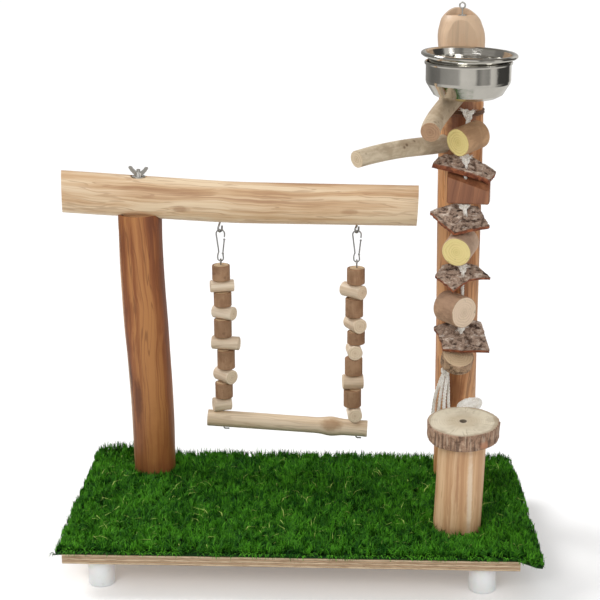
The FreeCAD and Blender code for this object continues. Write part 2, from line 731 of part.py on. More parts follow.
tall_shares = [i / 18 * (1 - size.tall_post_dome_height / size.tall_post_length) for i in range(19)]
tall_shares += [1 - size.tall_post_dome_height / size.tall_post_length * rest for rest in
                (0.8, 0.6, 0.4, 0.2, 0.08, 0)]
tall_stations = []
for share in tall_shares:
    level, radius = tall_section(share)
    tall_stations.append((tall_centre(level), radius, UP))
tall_post = round_log(tall_stations)

post_front = post_y - upper_radius
flat_y = post_front + size.tall_post_flat_depth
ledge_level = tall_top - size.ledge_drop
wide = 4 * upper_radius
flat_tool = Part.makeBox(
    wide, upper_radius, size.tall_post_flat_length + size.ledge_drop,
    Vector(size.tall_post_x - wide / 2, flat_y - upper_radius, ledge_level - size.tall_post_flat_length),
)
ledge_tool = Part.makeBox(
    wide, upper_radius, size.ledge_drop + 1,
    Vector(size.tall_post_x - wide / 2, post_front + size.ledge_depth - upper_radius, ledge_level),
)
tall_post = tall_post.cut(flat_tool).cut(ledge_tool)

# twine groove round the tall post, where the toy is tied
twine_level = board_top + size.toy_top_level
twine_centre = tall_centre(twine_level)
twine_ring_radius = tall_radius(twine_level) - size.twine_groove_depth + size.twine_diameter / 2 + gap
groove_radius = tall_radius(twine_level) - size.twine_groove_depth
groove_height = size.twine_diameter + 2 * size.twine_pitch + 0.6
groove_base = twine_centre - UP * (groove_height / 2)
groove_tool = cylinder(groove_base, UP, upper_radius + 6, groove_height).cut(
    cylinder(groove_base, UP, groove_radius, groove_height)
)
tall_post = tall_post.cut(groove_tool)

# ---------------------------------------------------------------------------------------------
# branches, let into round sockets of the tall post and screwed from behind
# ---------------------------------------------------------------------------------------------


def branch(level, root_direction, bend_points, end_normal, diameter, taper):
    """A branch from its socket through bend points; returns it with its socket and screw."""
    radius = diameter / 2
    centre = tall_centre(level)
    skin = tall_radius(level)
    inner = centre + root_direction * (skin - size.branch_socket_depth)
    outer = centre + root_direction * (skin + radius)
    root = cylinder(inner, root_direction, radius, (outer - inner).Length)
    limb = bent_log(
        [outer, outer + root_direction * radius] + bend_points,
        lambda share: radius * (1 - taper * share), end_normal, 12,
    )
    wood = root.fuse(limb).removeSplitter()
    socket = cylinder(inner - root_direction * 0.3, root_direction,
                      radius + size.branch_socket_gap, skin + radius)
    screw_radius = size.branch_screw_diameter / 2
    tip = inner + root_direction * size.branch_screw_bite
    back_run = size.branch_screw_bite + skin - size.branch_socket_depth + skin
    seat_back = back_run - size.branch_screw_recess - 2.5
    metal = screw(seat_back, tip, root_direction * -1, size.branch_screw_head_diameter / 2,
                  2.5, screw_radius)
    clearance = cylinder(tip + root_direction * 0.5, root_direction * -1, screw_radius + gap, back_run + 6)
    recess = cylinder(tip - root_direction * seat_back, root_direction * -1,
                      size.branch_screw_head_diameter / 2 + 0.5, size.branch_screw_recess + 12)
    return wood.cut(clearance), [socket, clearance, recess], metal


lower_level = board_top + size.lower_branch_level
upper_level = board_top + size.upper_branch_level
lower_direction = Vector(-0.80, -0.60, 0).normalize()
upper_direction = Vector(-0.34, -0.92, -0.2).normalize()
lower_bends = [
    Vector(size.tall_post_x - 72, post_y - 58, lower_level + 1.5),
    Vector(size.tall_post_x - 102, post_y - 75, lower_level - 1),
    Vector(size.tall_post_x - 130.5, post_y - 90, lower_level - 6),
]
upper_bends = [
    Vector(size.tall_post_x - 34, post_y - 88, upper_level - 21.5),
    Vector(size.tall_post_x - 43, post_y - 130, upper_level - 31),
]
lower_branch, lower_tools, lower_screw = branch(
    lower_level, lower_direction, lower_bends, Vector(-0.72, -0.68, -0.12).normalize(),
    size.lower_branch_diameter, 0.08)
upper_branch, upper_tools, upper_screw = branch(
    upper_level, upper_direction, upper_bends, Vector(-0.25, -0.95, -0.18).normalize(),
    size.upper_branch_diameter, 0.05)
for tool in lower_tools + upper_tools:
    tall_post = tall_post.cut(tool)
add("lower_branch", lower_branch)
add("upper_branch", upper_branch)
add("branch_screws", Part.makeCompound([lower_screw, upper_screw]))

# ---------------------------------------------------------------------------------------------
# fixed outer cup, its stand-offs and screws, and the loose food bowl
# ---------------------------------------------------------------------------------------------


def turned(outer, inner, centre):
    """A cup from outer and inner (radius, level) outlines, spun about an upright axis."""
    points = [Vector(r, 0, z) for r, z in outer + inner[::-1]]
    points.append(points[0])
    face = Part.Face(Part.makePolygon(points))
    cup = face.revolve(Vector(0, 0, 0), UP, 360)
    cup.translate(centre)
    return cup


holder_radius = size.holder_diameter / 2
holder_base = board_top + size.holder_floor_level
cup_x = size.tall_post_x + size.holder_shift_x
cup_y = flat_y - size.bowl_to_post_gap - size.bowl_rim_diameter / 2
sheet_t = size.bowl_sheet
floor_radius = size.holder_floor_diameter / 2
straight_base = size.holder_height - size.holder_straight_height
mid_radius = floor_radius + (holder_radius - floor_radius) * 0.45
holder_outer = [
    (0, 0),
    (floor_radius, 0),
    (mid_radius, straight_base * 0.2),
    (holder_radius * 0.985, straight_base * 0.9),
    (holder_radius, straight_base + 1.5),
    (holder_radius, size.holder_height - 2 * size.holder_lip),
    (holder_radius + size.holder_lip * 0.7, size.holder_height - 1.9 * size.holder_lip),
    (holder_radius + size.holder_lip, size.holder_height - size.holder_lip),
    (holder_radius + size.holder_lip * 0.6, size.holder_height - 0.2 * size.holder_lip),
    (holder_radius, size.holder_height),
]
holder_inner = [
    (0, sheet_t),
    (floor_radius - sheet_t * 0.3, sheet_t),
    (mid_radius - sheet_t * 0.5, straight_base * 0.2 + sheet_t),
    (holder_radius * 0.985 - sheet_t, straight_base * 0.9 + sheet_t * 0.4),
    (holder_radius - sheet_t, straight_base + 1.5),
    (holder_radius - sheet_t, size.holder_height - 0.5 * size.holder_lip),
]
cup_place = Vector(cup_x, cup_y, holder_base)
holder = turned(holder_outer, holder_inner, cup_place)

inner_wall = holder_radius - sheet_t
head_radius = size.holder_screw_head_diameter / 2
head_stand = inner_wall - math.sqrt(inner_wall**2 - head_radius**2)
spacer_list = []
holder_screw_list = []
screw_radius = size.holder_screw_diameter / 2
wall_y = cup_y + holder_radius
cup_core = cylinder(cup_place, UP, holder_radius, size.holder_height)
for level in (size.holder_screw_upper_level, size.holder_screw_lower_level):
    at = Vector(cup_x, flat_y, holder_base + level)
    reach = flat_y - wall_y + 3
    spacer = cylinder(at, TO_REAR * -1, size.spacer_diameter / 2 - 1, reach).cut(cup_core)
    spacer = hole(spacer.cut(holder), at + TO_REAR, TO_REAR * -1, screw_radius + gap, reach + 2)
    spacer_list.append(spacer)
    tip = at + TO_REAR * size.holder_screw_bite
    shank = size.holder_screw_bite + flat_y - wall_y + sheet_t + head_stand
    metal = screw(shank, tip, TO_REAR * -1, head_radius, size.holder_screw_head_height, screw_radius)
    holder_screw_list.append(metal)
    drill = cylinder(tip + TO_REAR * 0.5, TO_REAR * -1, screw_radius + gap, shank + 5)
    tall_post = tall_post.cut(drill)
    holder = holder.cut(drill)
add("bowl_holder", holder)
add("holder_spacers", Part.makeCompound(spacer_list))
add("holder_screws", Part.makeCompound(holder_screw_list))

rim_radius = size.bowl_rim_diameter / 2
bowl_radius = size.bowl_wall_diameter / 2
bowl_foot = size.bowl_floor_diameter / 2
depth = size.bowl_depth
roll = size.bowl_rim_roll
bowl_outer = [
    (0, 0),
    (bowl_foot, 0),
    (bowl_foot + 4.5, 1.6),
    (bowl_radius * 0.84, depth * 0.26),
    (bowl_radius * 0.895, depth * 0.45),
    (bowl_radius * 0.925, depth * 0.68),
    (bowl_radius * 0.94, depth * 0.82),
    (bowl_radius, depth - roll * 1.2),
    (rim_radius - roll * 0.8, depth - roll * 2),
    (rim_radius, depth - roll * 1.3),
    (rim_radius, depth - roll * 0.6),
    (rim_radius - roll * 0.7, depth),
    (bowl_radius + roll * 0.6, depth),
]
bowl_inner = [
    (0, sheet_t),
    (bowl_foot, sheet_t),
    (bowl_foot + 4, 1.6 + sheet_t),
    (bowl_radius * 0.84 - sheet_t, depth * 0.26 + sheet_t * 0.3),
    (bowl_radius * 0.895 - sheet_t, depth * 0.45),
    (bowl_radius * 0.925 - sheet_t, depth * 0.68),
    (bowl_radius * 0.94 - sheet_t, depth * 0.82 + sheet_t * 0.5),
    (bowl_radius - sheet_t, depth - roll * 0.6),
]
bowl = turned(bowl_outer, bowl_inner, Vector(0, 0, 0))
tilt = math.radians(size.bowl_tilt)
bowl_lift = holder_base + sheet_t + size.bowl_seat_gap + bowl_foot * math.sin(tilt)
bowl_shift = -math.sin(tilt) * depth * 0.45
bowl_place = Placement(
    Vector(cup_x + bowl_shift, cup_y, bowl_lift), Rotation(TO_REAR, size.bowl_tilt)
)
bowl_obj = add("food_bowl", bowl)
bowl_obj.Placement = bowl_place

# ---------------------------------------------------------------------------------------------
# eye screw on the ledge of the tall post
# ---------------------------------------------------------------------------------------------

eye_at = Vector(tall_centre(ledge_level).x + 2, post_front + size.eye_from_front, ledge_level)
eye_radius = size.eye_wire_diameter / 2
ring_radius = size.eye_outer_diameter / 2 - eye_radius
eye_shaft = cylinder(eye_at - UP * size.eye_bite, UP, eye_radius,
                     size.eye_bite + size.eye_shaft_height)
eye_ring = Part.makeTorus(ring_radius, eye_radius,
                          eye_at + UP * (size.eye_shaft_height + ring_radius - 0.2), direction_of(72))
eye_collar = cylinder(eye_at, UP, size.eye_washer_diameter / 2, size.eye_washer_thickness)
add("eye_screw", eye_shaft.fuse([eye_ring, eye_collar]).removeSplitter())
tall_post = hole(tall_post, eye_at - UP * (size.eye_bite + 1), UP, eye_radius + gap, size.eye_bite + 3)
for tool in post_screw_tools(size.tall_post_x, post_y):
    tall_post = tall_post.cut(tool)
add("tall_post", tall_post)

# ---------------------------------------------------------------------------------------------
# short post with its wood-slice step
# ---------------------------------------------------------------------------------------------

short_radius = size.short_post_diameter / 2
short_base = Vector(size.short_post_x, size.short_post_y, board_top)
short_top = short_base + Vector(size.short_post_lean, 0, size.short_post_length)
over = short_radius * math.tan(math.radians(size.slice_tilt)) + 3
short_way = short_top - short_base
short_post = round_log([
    (short_base, short_radius, UP),
    (short_base + short_way * 0.5, short_radius * 0.995, UP),
    (short_base + short_way + UP * over, short_radius * 0.985, UP),
])
slice_turn = Rotation(TO_RIGHT, size.slice_tilt)
slice_normal = slice_turn.multVec(UP)
slice_place = Placement(short_top, slice_turn)
top_trim = Part.makeBox(200, 200, 60, Vector(-100, -100, 0))
top_trim.Placement = slice_place
short_post = short_post.cut(top_trim)
slice_screw_radius = size.slice_screw_diameter / 2
slice_drill = cylinder(short_top - slice_normal * (size.slice_screw_bite + 0.5), slice_normal,
                       slice_screw_radius + gap, size.slice_screw_bite + size.slice_thickness + 2)
short_post = short_post.cut(slice_drill)
for tool in post_screw_tools(size.short_post_x, size.short_post_y):
    short_post = short_post.cut(tool)
add("short_post", short_post)

slice_radius = size.slice_diameter / 2
rim_swell = (0.99, 1.0, 0.985, 1.01, 1.0, 0.98, 1.0, 1.015, 0.99, 0.995, 1.01, 0.985)
rim_points = []
for index, swell in enumerate(rim_swell):
    angle = 2 * math.pi * index / len(rim_swell)
    rim_points.append(Vector(math.cos(angle), math.sin(angle), 0) * slice_radius * swell)
rim_curve = Part.BSplineCurve()
rim_curve.interpolate(rim_points, PeriodicFlag=True)
slice_wood = Part.Face(Part.Wire(rim_curve.toShape())).extrude(UP * size.slice_thickness)
slice_wood.Placement = slice_place
slice_wood = slice_wood.cut(slice_drill)
slice_top = short_top + slice_normal * size.slice_thickness
slice_wood = hole(slice_wood, slice_top + slice_normal, slice_normal * -1,
                  size.slice_hole_diameter / 2, size.slice_hole_depth + 1)
add("wood_slice", slice_wood)
slice_head_seat = size.slice_thickness - size.slice_hole_depth
add("slice_screw", screw(
    size.slice_screw_bite + slice_head_seat, short_top - slice_normal * size.slice_screw_bite,
    slice_normal, size.slice_screw_head_diameter / 2, size.slice_screw_head_height,
    slice_screw_radius,
))

post_screw_list = []
for screw_x, screw_y in (
    (size.left_post_x, post_y),
    (size.tall_post_x, post_y),
    (size.short_post_x, size.short_post_y),
):
    post_screw_list += post_screw_solids(screw_x, screw_y)
add("post_screws", Part.makeCompound(post_screw_list))

# ---------------------------------------------------------------------------------------------
# perch, its bolt, washer and wing nut
# ---------------------------------------------------------------------------------------------

perch_stations = []
perch_length = size.perch_left_reach + size.perch_right_reach
for i in range(18):
    along = -size.perch_left_reach + i / 17 * perch_length
    step = 0.5
    way = perch_axis(along + step) - perch_axis(along - step)
    if i == 0:
        way = direction_of(size.perch_left_cut, size.perch_left_fall - size.perch_left_slant)
    if i == 17:
        way = direction_of(0, size.perch_right_fall - size.perch_right_slant)
    perch_stations.append((perch_axis(along), perch_radius(along), way.normalize()))
perch = round_log(perch_stations)
seat_tool = cylinder(Vector(bolt_x, post_y, seat_level - 40), UP, left_top_radius + size.perch_seat_gap, 40)
perch = perch.cut(seat_tool)
perch_top_level = perch_centre_level + perch_radius(0)
spot_level = perch_top_level - size.washer_spot_depth
spot_tool = cylinder(Vector(bolt_x, post_y, spot_level), UP,
                     size.washer_diameter / 2 + size.washer_spot_gap, 20)
perch = perch.cut(spot_tool)
perch = hole(perch, Vector(bolt_x, post_y, seat_level - 1), UP,
             size.bolt_diameter / 2 + size.perch_bore_gap, 80)

left_hang_x = bolt_x + size.left_hook_from_bolt
right_hang_x = left_hang_x + size.hook_spacing
hook_radius = size.hook_wire_diameter / 2


def perch_underside(x):
    """Level of the perch's underside at a world x."""
    along = x - bolt_x
    return perch_axis(along).z - perch_radius(along)


hook_level = perch_underside(left_hang_x) - size.hook_drop + size.hook_width / 2


def make_hook(x):
    """A screw hook at x: thread, offset arm, round bottom and open arm."""
    half = size.hook_width / 2
    sideways = direction_of(90 - size.hook_turn)
    base = Vector(x, post_y, 0)
    under = perch_underside(x)
    bottom = hook_level - half
    path_points = [
        base + UP * (under + size.hook_bite),
        base + UP * (under - 1),
        base - sideways * half + UP * (hook_level + 2),
        base - sideways * half + UP * bottom,
        base + sideways * half + UP * bottom,
        base + sideways * half + UP * (bottom + size.hook_tip_height),
    ]
    arm = (path_points[2] - path_points[1]).Length
    path, _ = tangent_path(path_points, [min(3, arm), min(3, arm), half * 0.97, half * 0.97])
    return tube(path, hook_radius), cylinder(
        base + UP * (under - 4), UP, hook_radius + gap, size.hook_bite + 4.6)


left_hook, left_drill = make_hook(left_hang_x)
right_hook, right_drill = make_hook(right_hang_x)
perch = perch.cut(left_drill).cut(right_drill)
add("perch_log", perch)
add("left_hook", left_hook)
add("right_hook", right_hook)

washer_level = spot_level + size.washer_thickness
bolt_top = washer_level + size.bolt_stickout
add("perch_bolt", cylinder(bolt_foot, UP, size.bolt_diameter / 2, bolt_top - bolt_foot.z))

washer = doc.addObject("PartDesign::Body", "PerchWasher")
washer_outline = flat_sketch(washer, "WasherOutline")
sketched_circle(washer_outline, "0 * Sizes.washer_diameter", "0 * Sizes.washer_diameter",
                "Sizes.washer_diameter", "rim")
sketched_circle(washer_outline, "0 * Sizes.washer_diameter", "0 * Sizes.washer_diameter",
                "Sizes.bolt_diameter + 2 * Sizes.perch_bore_gap", "bore")
washer_pad = washer.newObject("PartDesign::Pad", "WasherPad")
washer_pad.Profile = washer_outline
washer_pad.setExpression("Length", "Sizes.washer_thickness")
washer.Placement = Placement(Vector(bolt_x, post_y, spot_level), Rotation())
keep(washer, "perch_washer")

hub_radius = size.nut_hub_diameter / 2
nut_half = size.nut_span / 2
hub = Part.makeCone(hub_radius, hub_radius * 0.82, size.nut_hub_height)
wing_outline = [
    (hub_radius * 0.45, 0.8),
    (hub_radius * 0.95, 0.8),
    (nut_half * 0.78, size.nut_height * 0.5),
    (nut_half, size.nut_height * 0.86),
    (nut_half * 0.93, size.nut_height * 0.99),
    (nut_half * 0.7, size.nut_height),
    (nut_half * 0.55, size.nut_height * 0.78),
    (hub_radius * 0.45, size.nut_hub_height * 0.98),
]
wing_solids = []
for side in (1, -1):
    corners = [Vector(side * u, -size.nut_wing_thickness / 2, w) for u, w in wing_outline]
    corners.append(corners[0])
    wing_solids.append(Part.Face(Part.makePolygon(corners)).extrude(TO_REAR * size.nut_wing_thickness))
nut = hub.fuse(wing_solids).removeSplitter()
nut = hole(nut, Vector(0, 0, -1), UP, size.bolt_diameter / 2 + gap, size.nut_height + 2)
nut_obj = add("wing_nut", nut)
nut_obj.Placement = Placement(Vector(bolt_x, post_y, washer_level), Rotation(UP, -14))

# ---------------------------------------------------------------------------------------------
# swing: snap clips, wires, beads and bar
# ---------------------------------------------------------------------------------------------

clip_radius = size.clip_wire_diameter / 2
wire_radius = size.wire_diameter / 2
clip_level = hook_level - size.hook_width / 2 + hook_radius + size.link_gap + clip_radius
eye_level = clip_level - size.clip_height
loop_inner = size.wire_loop_radius - wire_radius
loop_centre_level = eye_level - (loop_inner - clip_radius - size.link_gap)
loop_bottom_level = loop_centre_level - size.wire_loop_radius - wire_radius
latch_x = size.clip_width / 2 - 0.7
pivot_x = size.clip_eye_width / 2 - 1


def make_clip(x):
    """Bent-wire body of a snap clip, from its latch round to the ball at the gate's pivot."""
    half = size.clip_width / 2
    waist = size.clip_waist_width / 2
    eye = size.clip_eye_width / 2
    bottom = -size.clip_height
    outline = [
        (latch_x, -size.clip_latch_drop + 1.4),
        (half, 0),
        (-half, 0),
        (-waist, -size.clip_waist_drop),
        (-eye, -size.clip_waist_drop - 4.5),
        (-eye, bottom),
        (eye, bottom),
        (pivot_x, -size.clip_pivot_drop),
    ]
    points = [Vector(x + u, post_y, clip_level + w) for u, w in outline]
    path, _ = tangent_path(points, [half * 0.9, half * 0.9, 2.5, 2.5, eye * 0.92, eye * 0.92])
    ball_at = Vector(x + pivot_x, post_y, clip_level - size.clip_pivot_drop)
    ball = Part.makeSphere(size.clip_ball_diameter / 2, ball_at)
    return tube(path, clip_radius).fuse(ball).removeSplitter()


def make_gate(x):
    """Straight wire gate from just above the ball to the latch, ending in a small catch."""
    foot = Vector(x + pivot_x, post_y, clip_level - size.clip_pivot_drop)
    latch = Vector(x + latch_x, post_y, clip_level - size.clip_latch_drop)
    along = (latch - foot).normalize()
    start = foot + along * (size.clip_ball_diameter / 2 + size.link_gap)
    length = (latch - start).Length - clip_radius
    rod = cylinder(start, along, clip_radius, length)
    catch = cylinder(start + along * (length - 1.6), along, clip_radius * 1.5, 1.6)
    return rod.fuse(catch).removeSplitter()


add("left_clip", make_clip(left_hang_x))
add("right_clip", make_clip(right_hang_x))
add("left_clip_gate", make_gate(left_hang_x))
add("right_clip_gate", make_gate(right_hang_x))


joint_places = {}


def make_string(side, x, beads):
    """All beads of one string from the top down; returns the level under the last bead."""
    level = loop_bottom_level - getattr(size, f"{side}_loop_to_bead")
    bark_beads = []
    cross_count = 0
    bore = wire_radius + size.wire_bead_gap
    for number, bead in enumerate(beads, 1):
        height = getattr(size, f"{side}_bead_{number}_height")
        shift = getattr(size, f"{side}_bead_{number}_shift")
        chamfer = size.bead_chamfer
        if bead[0] == "bark":
            radius = size.bark_bead_diameter / 2
            solid = cylinder(Vector(x + shift, post_y, level - height), UP, radius, height)
            solid = solid.makeChamfer(chamfer, [e for e in solid.Edges if e.Closed])
            solid = hole(solid, Vector(x, post_y, level - height - 1), UP, bore, height + 2)
            bark_beads.append(solid)
        else:
            cross_count += 1
            length = getattr(size, f"{side}_bead_{number}_length")
            turn = getattr(size, f"{side}_bead_{number}_turn")
            along = direction_of(turn)
            middle = Vector(x + shift, post_y, level - height / 2)
            solid = cylinder(middle - along * (length / 2), along, height / 2, length)
            solid = solid.makeChamfer(chamfer, [e for e in solid.Edges if e.Closed])
            solid = hole(solid, Vector(x, post_y, level - height - 1), UP, bore, height + 2)
            add(f"{side}_cross_bead_{cross_count}", solid)
            joint_places[f"{side} cross bead {cross_count}"] = Vector(x, post_y, level - height / 2)
        level -= height + size.bead_play
    add(f"{side}_bark_beads", Part.makeCompound(bark_beads))
    return level


left_bar_top = make_string("left", left_hang_x, LEFT_STRING)
right_bar_top = make_string("right", right_hang_x, RIGHT_STRING)

bar_radius = size.bar_diameter / 2
bar_left = Vector(left_hang_x, post_y, left_bar_top - bar_radius - size.bar_slope_room)
bar_right = Vector(right_hang_x, post_y, right_bar_top - bar_radius - size.bar_slope_room)
bar_along = (bar_right - bar_left).normalize()
bar_span = (bar_right - bar_left).Length
bar_stations = []
knot_radius = size.bar_knot_diameter / 2
bar_start = -size.bar_left_overhang / bar_span
bar_end = 1 + size.bar_right_overhang / bar_span
bar_table = [
    (bar_start, bar_radius),
    (0.7, bar_radius * 0.985),
    (0.815, knot_radius),
    (0.91, bar_radius * 1.01),
    (bar_end, bar_radius * 0.99),
]
for i in range(29):
    share = bar_start + (bar_end - bar_start) * i / 28
    bar_stations.append((bar_left + bar_along * (share * bar_span), eased(bar_table, share), bar_along))
bar = round_log(bar_stations)


def make_wire(x, bar_centre_level):
    """Wire from its top loop down through the beads and the bar, bent over underneath."""
    foot_level = bar_centre_level - bar_radius - size.wire_foot_drop
    start = Vector(x, post_y, loop_centre_level - size.wire_loop_radius)
    corner = Vector(x, post_y, foot_level)
    end = corner + TO_RIGHT * size.wire_foot_length
    path, _ = tangent_path([start, corner, end], [size.wire_diameter * 1.2])
    loop = Part.makeTorus(size.wire_loop_radius, wire_radius,
                          Vector(x, post_y, loop_centre_level), TO_RIGHT)
    return tube(path, wire_radius).fuse(loop).removeSplitter()


for x in (left_hang_x, right_hang_x):
    bar = hole(bar, Vector(x, post_y, bar_right.z - 60), UP, wire_radius + size.wire_bead_gap, 120)
add("swing_bar", bar)
add("left_wire", make_wire(left_hang_x, bar_left.z))
add("right_wire", make_wire(right_hang_x, bar_right.z))

# ---------------------------------------------------------------------------------------------
# chew toy on a cotton rope, tied to the twine round the tall post
# ---------------------------------------------------------------------------------------------

rope_radius = size.toy_rope_diameter / 2
toy_line = Vector(size.toy_x, size.toy_y, 0)
top_knot_radius = size.toy_top_knot_diameter / 2
knot_reach = twine_ring_radius + size.twine_diameter / 2 + top_knot_radius
knot_beside = size.toy_x + size.toy_top_shift - twine_centre.x
top_knot = twine_centre + Vector(knot_beside, -math.sqrt(knot_reach**2 - knot_beside**2), 0)
tail_knot = toy_line + Vector(size.toy_tail_shift, -2, board_top + size.toy_tail_level)
rope_points = [
    top_knot,
    toy_line + Vector(0.4, 0.4, twine_level - 12),
    toy_line + UP * (board_top + size.toy_bark_4_level - 14),
    tail_knot,
]
rope_path, rope_radii = tangent_path(rope_points)
print("toy rope arc radii", [round(r, 1) for r in rope_radii])
print("toy rope length", round(rope_path.Length, 1))
rope = tube(rope_path, rope_radius)
rope_expected = math.pi * rope_radius**2 * rope_path.Length
print("toy rope volume against section times length", round(rope.Volume / rope_expected, 4))
assert abs(rope.Volume / rope_expected - 1) < 0.02, "the rope's tube is not whole"
add("toy_rope", rope)
rope_hole = tube(rope_path, rope_radius + size.toy_hole_gap)

# twine wound twice round the post, starting and ending at the front
twine_path = Part.makeHelix(size.twine_pitch, 2 * size.twine_pitch, twine_ring_radius)
twine_path.rotate(Vector(0, 0, 0), UP, -90)
twine_path.translate(twine_centre - UP * size.twine_pitch)
twine_start = twine_path.Edges[0]
twine_profile = Part.Wire(Part.Circle(
    twine_start.valueAt(twine_start.FirstParameter),
    twine_start.tangentAt(twine_start.FirstParameter),
    size.twine_diameter / 2).toShape())
twine = Part.Wire(twine_path.Edges).makePipeShell([twine_profile], True, True)
print("twine gap between its turns", round(size.twine_pitch - size.twine_diameter, 2))
add("hanger_twine", twine)


def knot(centre, diameter):
    """A knot: a slightly flattened ball round the rope."""
    ball = Part.makeSphere(diameter / 2)
    squash = Matrix()
    squash.scale(1, 1, size.toy_knot_flattening)
    ball = ball.transformGeometry(squash)
    ball.translate(centre)
    return ball.cut(rope)


def toy_log(number, turn, tip):
    """A short log across the rope, turned about the rope and tipped, its rear end lower by tip."""
    level, shift_x, shift_y, length, diameter = [
        getattr(size, f"toy_log_{number}_{key}")
        for key in ("level", "shift_x", "shift_y", "length", "diameter")
    ]
    along = direction_of(turn, tip)
    middle = toy_line + Vector(shift_x, shift_y, board_top + level)
    solid = cylinder(middle - along * (length / 2), along, diameter / 2, length)
    solid = solid.makeChamfer(size.bead_chamfer, [e for e in solid.Edges if e.Closed])
    return solid.cut(rope_hole)


def bark_place(number, slope, roll_angle):
    """Where a bark plate lies: front edge lower by slope, right end lower by roll."""
    level = getattr(size, f"toy_bark_{number}_level")
    turn = Rotation(TO_REAR, roll_angle).multiply(Rotation(TO_RIGHT, slope))
    return Placement(toy_line + UP * (board_top + level), turn)


def bark_plate(number, outline, slope, roll_angle):
    """A rough plate of bark, bowed like the trunk that it came from."""
    thickness = getattr(size, f"toy_bark_{number}_thickness")
    bow = getattr(size, f"toy_bark_{number}_bow")
    corners = [Vector(u, v, -60) for u, v in outline]
    corners.append(corners[0])
    blank = Part.Face(Part.makePolygon(corners)).extrude(UP * 80)
    centre = Vector(0, -100, -bow)
    shell = cylinder(centre, TO_REAR, bow, 200).cut(cylinder(centre, TO_REAR, bow - thickness, 200))
    plate = blank.common(shell)
    plate.Placement = bark_place(number, slope, roll_angle)
    return plate.cut(rope_hole)


for number, turn, tip in TOY_LOG_TURNS:
    add(f"toy_log_{number}", toy_log(number, turn, tip))
for number, slope, roll_angle, outline in TOY_BARK_OUTLINES:
    add(f"toy_bark_{number}", bark_plate(number, outline, slope, roll_angle))

block_base = toy_line + Vector(size.toy_block_shift, 0, board_top + size.toy_block_level)
block = Part.makeBox(
    size.toy_block_width, size.toy_block_depth, size.toy_block_height,
    Vector(-size.toy_block_width / 2, -size.toy_block_depth / 2, 0),
)
block = block.makeChamfer(size.toy_block_edge, block.Edges)
block.Placement = Placement(block_base, Rotation(UP, -size.toy_block_turn))
plate_slope, plate_roll = TOY_BARK_OUTLINES[0][1:3]
block_reach = size.toy_block_width / 2 + size.toy_block_shift + size.toy_block_depth / 4
plate_sag = block_reach**2 / (2 * size.toy_bark_1_bow)
below_plate = -size.toy_bark_1_thickness - plate_sag - size.link_gap
above_block = Part.makeBox(200, 200, 100, Vector(-100, -100, below_plate))
above_block.Placement = bark_place(1, plate_slope, plate_roll)
block = block.cut(above_block)
add("toy_block", block.cut(rope_hole))

knot_solids = [Part.makeSphere(top_knot_radius, top_knot).cut(rope)]
for number, slope, _, _ in TOY_BARK_OUTLINES:
    knot_radius = size.toy_knot_diameter / 2
    seat = (knot_radius + size.link_gap) / math.cos(math.radians(slope))
    centre = toy_line + UP * (board_top + getattr(size, f"toy_bark_{number}_level") + seat)
    knot_solids.append(knot(centre, size.toy_knot_diameter))
tail_ball = Part.makeSphere(size.toy_knot_diameter / 2, tail_knot)
knot_solids.append(tail_ball.cut(rope))
add("toy_knots", Part.makeCompound(knot_solids))

# loose cotton strands below the last knot, one of them with a frayed end
strand_radius = size.toy_strand_diameter / 2
strand_list = []
for offsets in TOY_STRANDS:
    points = [tail_knot + Vector(*offset) for offset in offsets]
    strand_path, strand_radii = tangent_path(points)
    print("strand radii", [round(r, 1) for r in strand_radii], "length", round(strand_path.Length, 1))
    strand_list.append(tube(strand_path, strand_radius).cut(tail_ball))
fray_place = tail_knot + Vector(*TOY_STRANDS[-1][-1])
fray = Part.makeSphere(1)
swell = Matrix()
swell.scale(size.toy_fray_width / 2, size.toy_fray_width * 0.4, size.toy_fray_height / 2)
fray = fray.transformGeometry(swell)
fray.translate(fray_place + Vector(0, 0, size.toy_fray_height * 0.35))
strand_list[-1] = strand_list[-1].cut(fray)
add("toy_tassel", Part.makeCompound(strand_list + [fray]))

# ---------------------------------------------------------------------------------------------
# origin on the floor under the middle of the stand, checks and export
# ---------------------------------------------------------------------------------------------

doc.recompute()
bounds = FreeCAD.BoundBox()
for obj in parts:
    bounds.add(obj.Shape.optimalBoundingBox(False, False))
middle = Vector((bounds.XMin + bounds.XMax) / 2, (bounds.YMin + bounds.YMax) / 2, 0)
to_middle = Placement(middle * -1, Rotation())
for obj in parts:
    if obj.isDerivedFrom("PartDesign::Body"):
        obj.setExpression("Placement.Base.z", None)
        doc.recompute()
    obj.Placement = to_middle.multiply(obj.Placement)
doc.recompute()
print("shift to the middle", to_middle.Base)

for obj in doc.Objects:
    bad = [state for state in obj.State if state in ("Invalid", "Error")]
    if bad:
        raise RuntimeError(f"{obj.Name} failed: {bad}")
for obj in parts:
    if obj.Shape.isNull() or not obj.Shape.isValid():
        raise RuntimeError(f"{obj.Label} has no valid shape")

os.makedirs("parts", exist_ok=True)
for obj in parts:
    obj.Shape.exportStep(f"parts/{obj.Label}.step")
print(len(parts), "pieces written")

# places of the joints in the finished frame
shift = to_middle.Base
joint_places |= {
    "perch bolt": Vector(bolt_x, post_y, washer_level),
    "left clip top": Vector(left_hang_x, post_y, clip_level),
    "right clip top": Vector(right_hang_x, post_y, clip_level),
    "left clip eye": Vector(left_hang_x, post_y, eye_level),
    "left gate": Vector(left_hang_x + pivot_x, post_y, clip_level - size.clip_pivot_drop),
    "right gate": Vector(right_hang_x + pivot_x, post_y, clip_level - size.clip_pivot_drop),
    "toy knot": top_knot,
    "bowl": bowl_place.Base,
    "bar left": bar_left,
    "bar right": bar_right,
}
for name, place in joint_places.items():
    at = place + shift
    print("place", name, round(at.x, 3), round(at.y, 3), round(at.z, 3))
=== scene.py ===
import math

import bpy
import numpy as np
from mathutils import Matrix, Vector, noise


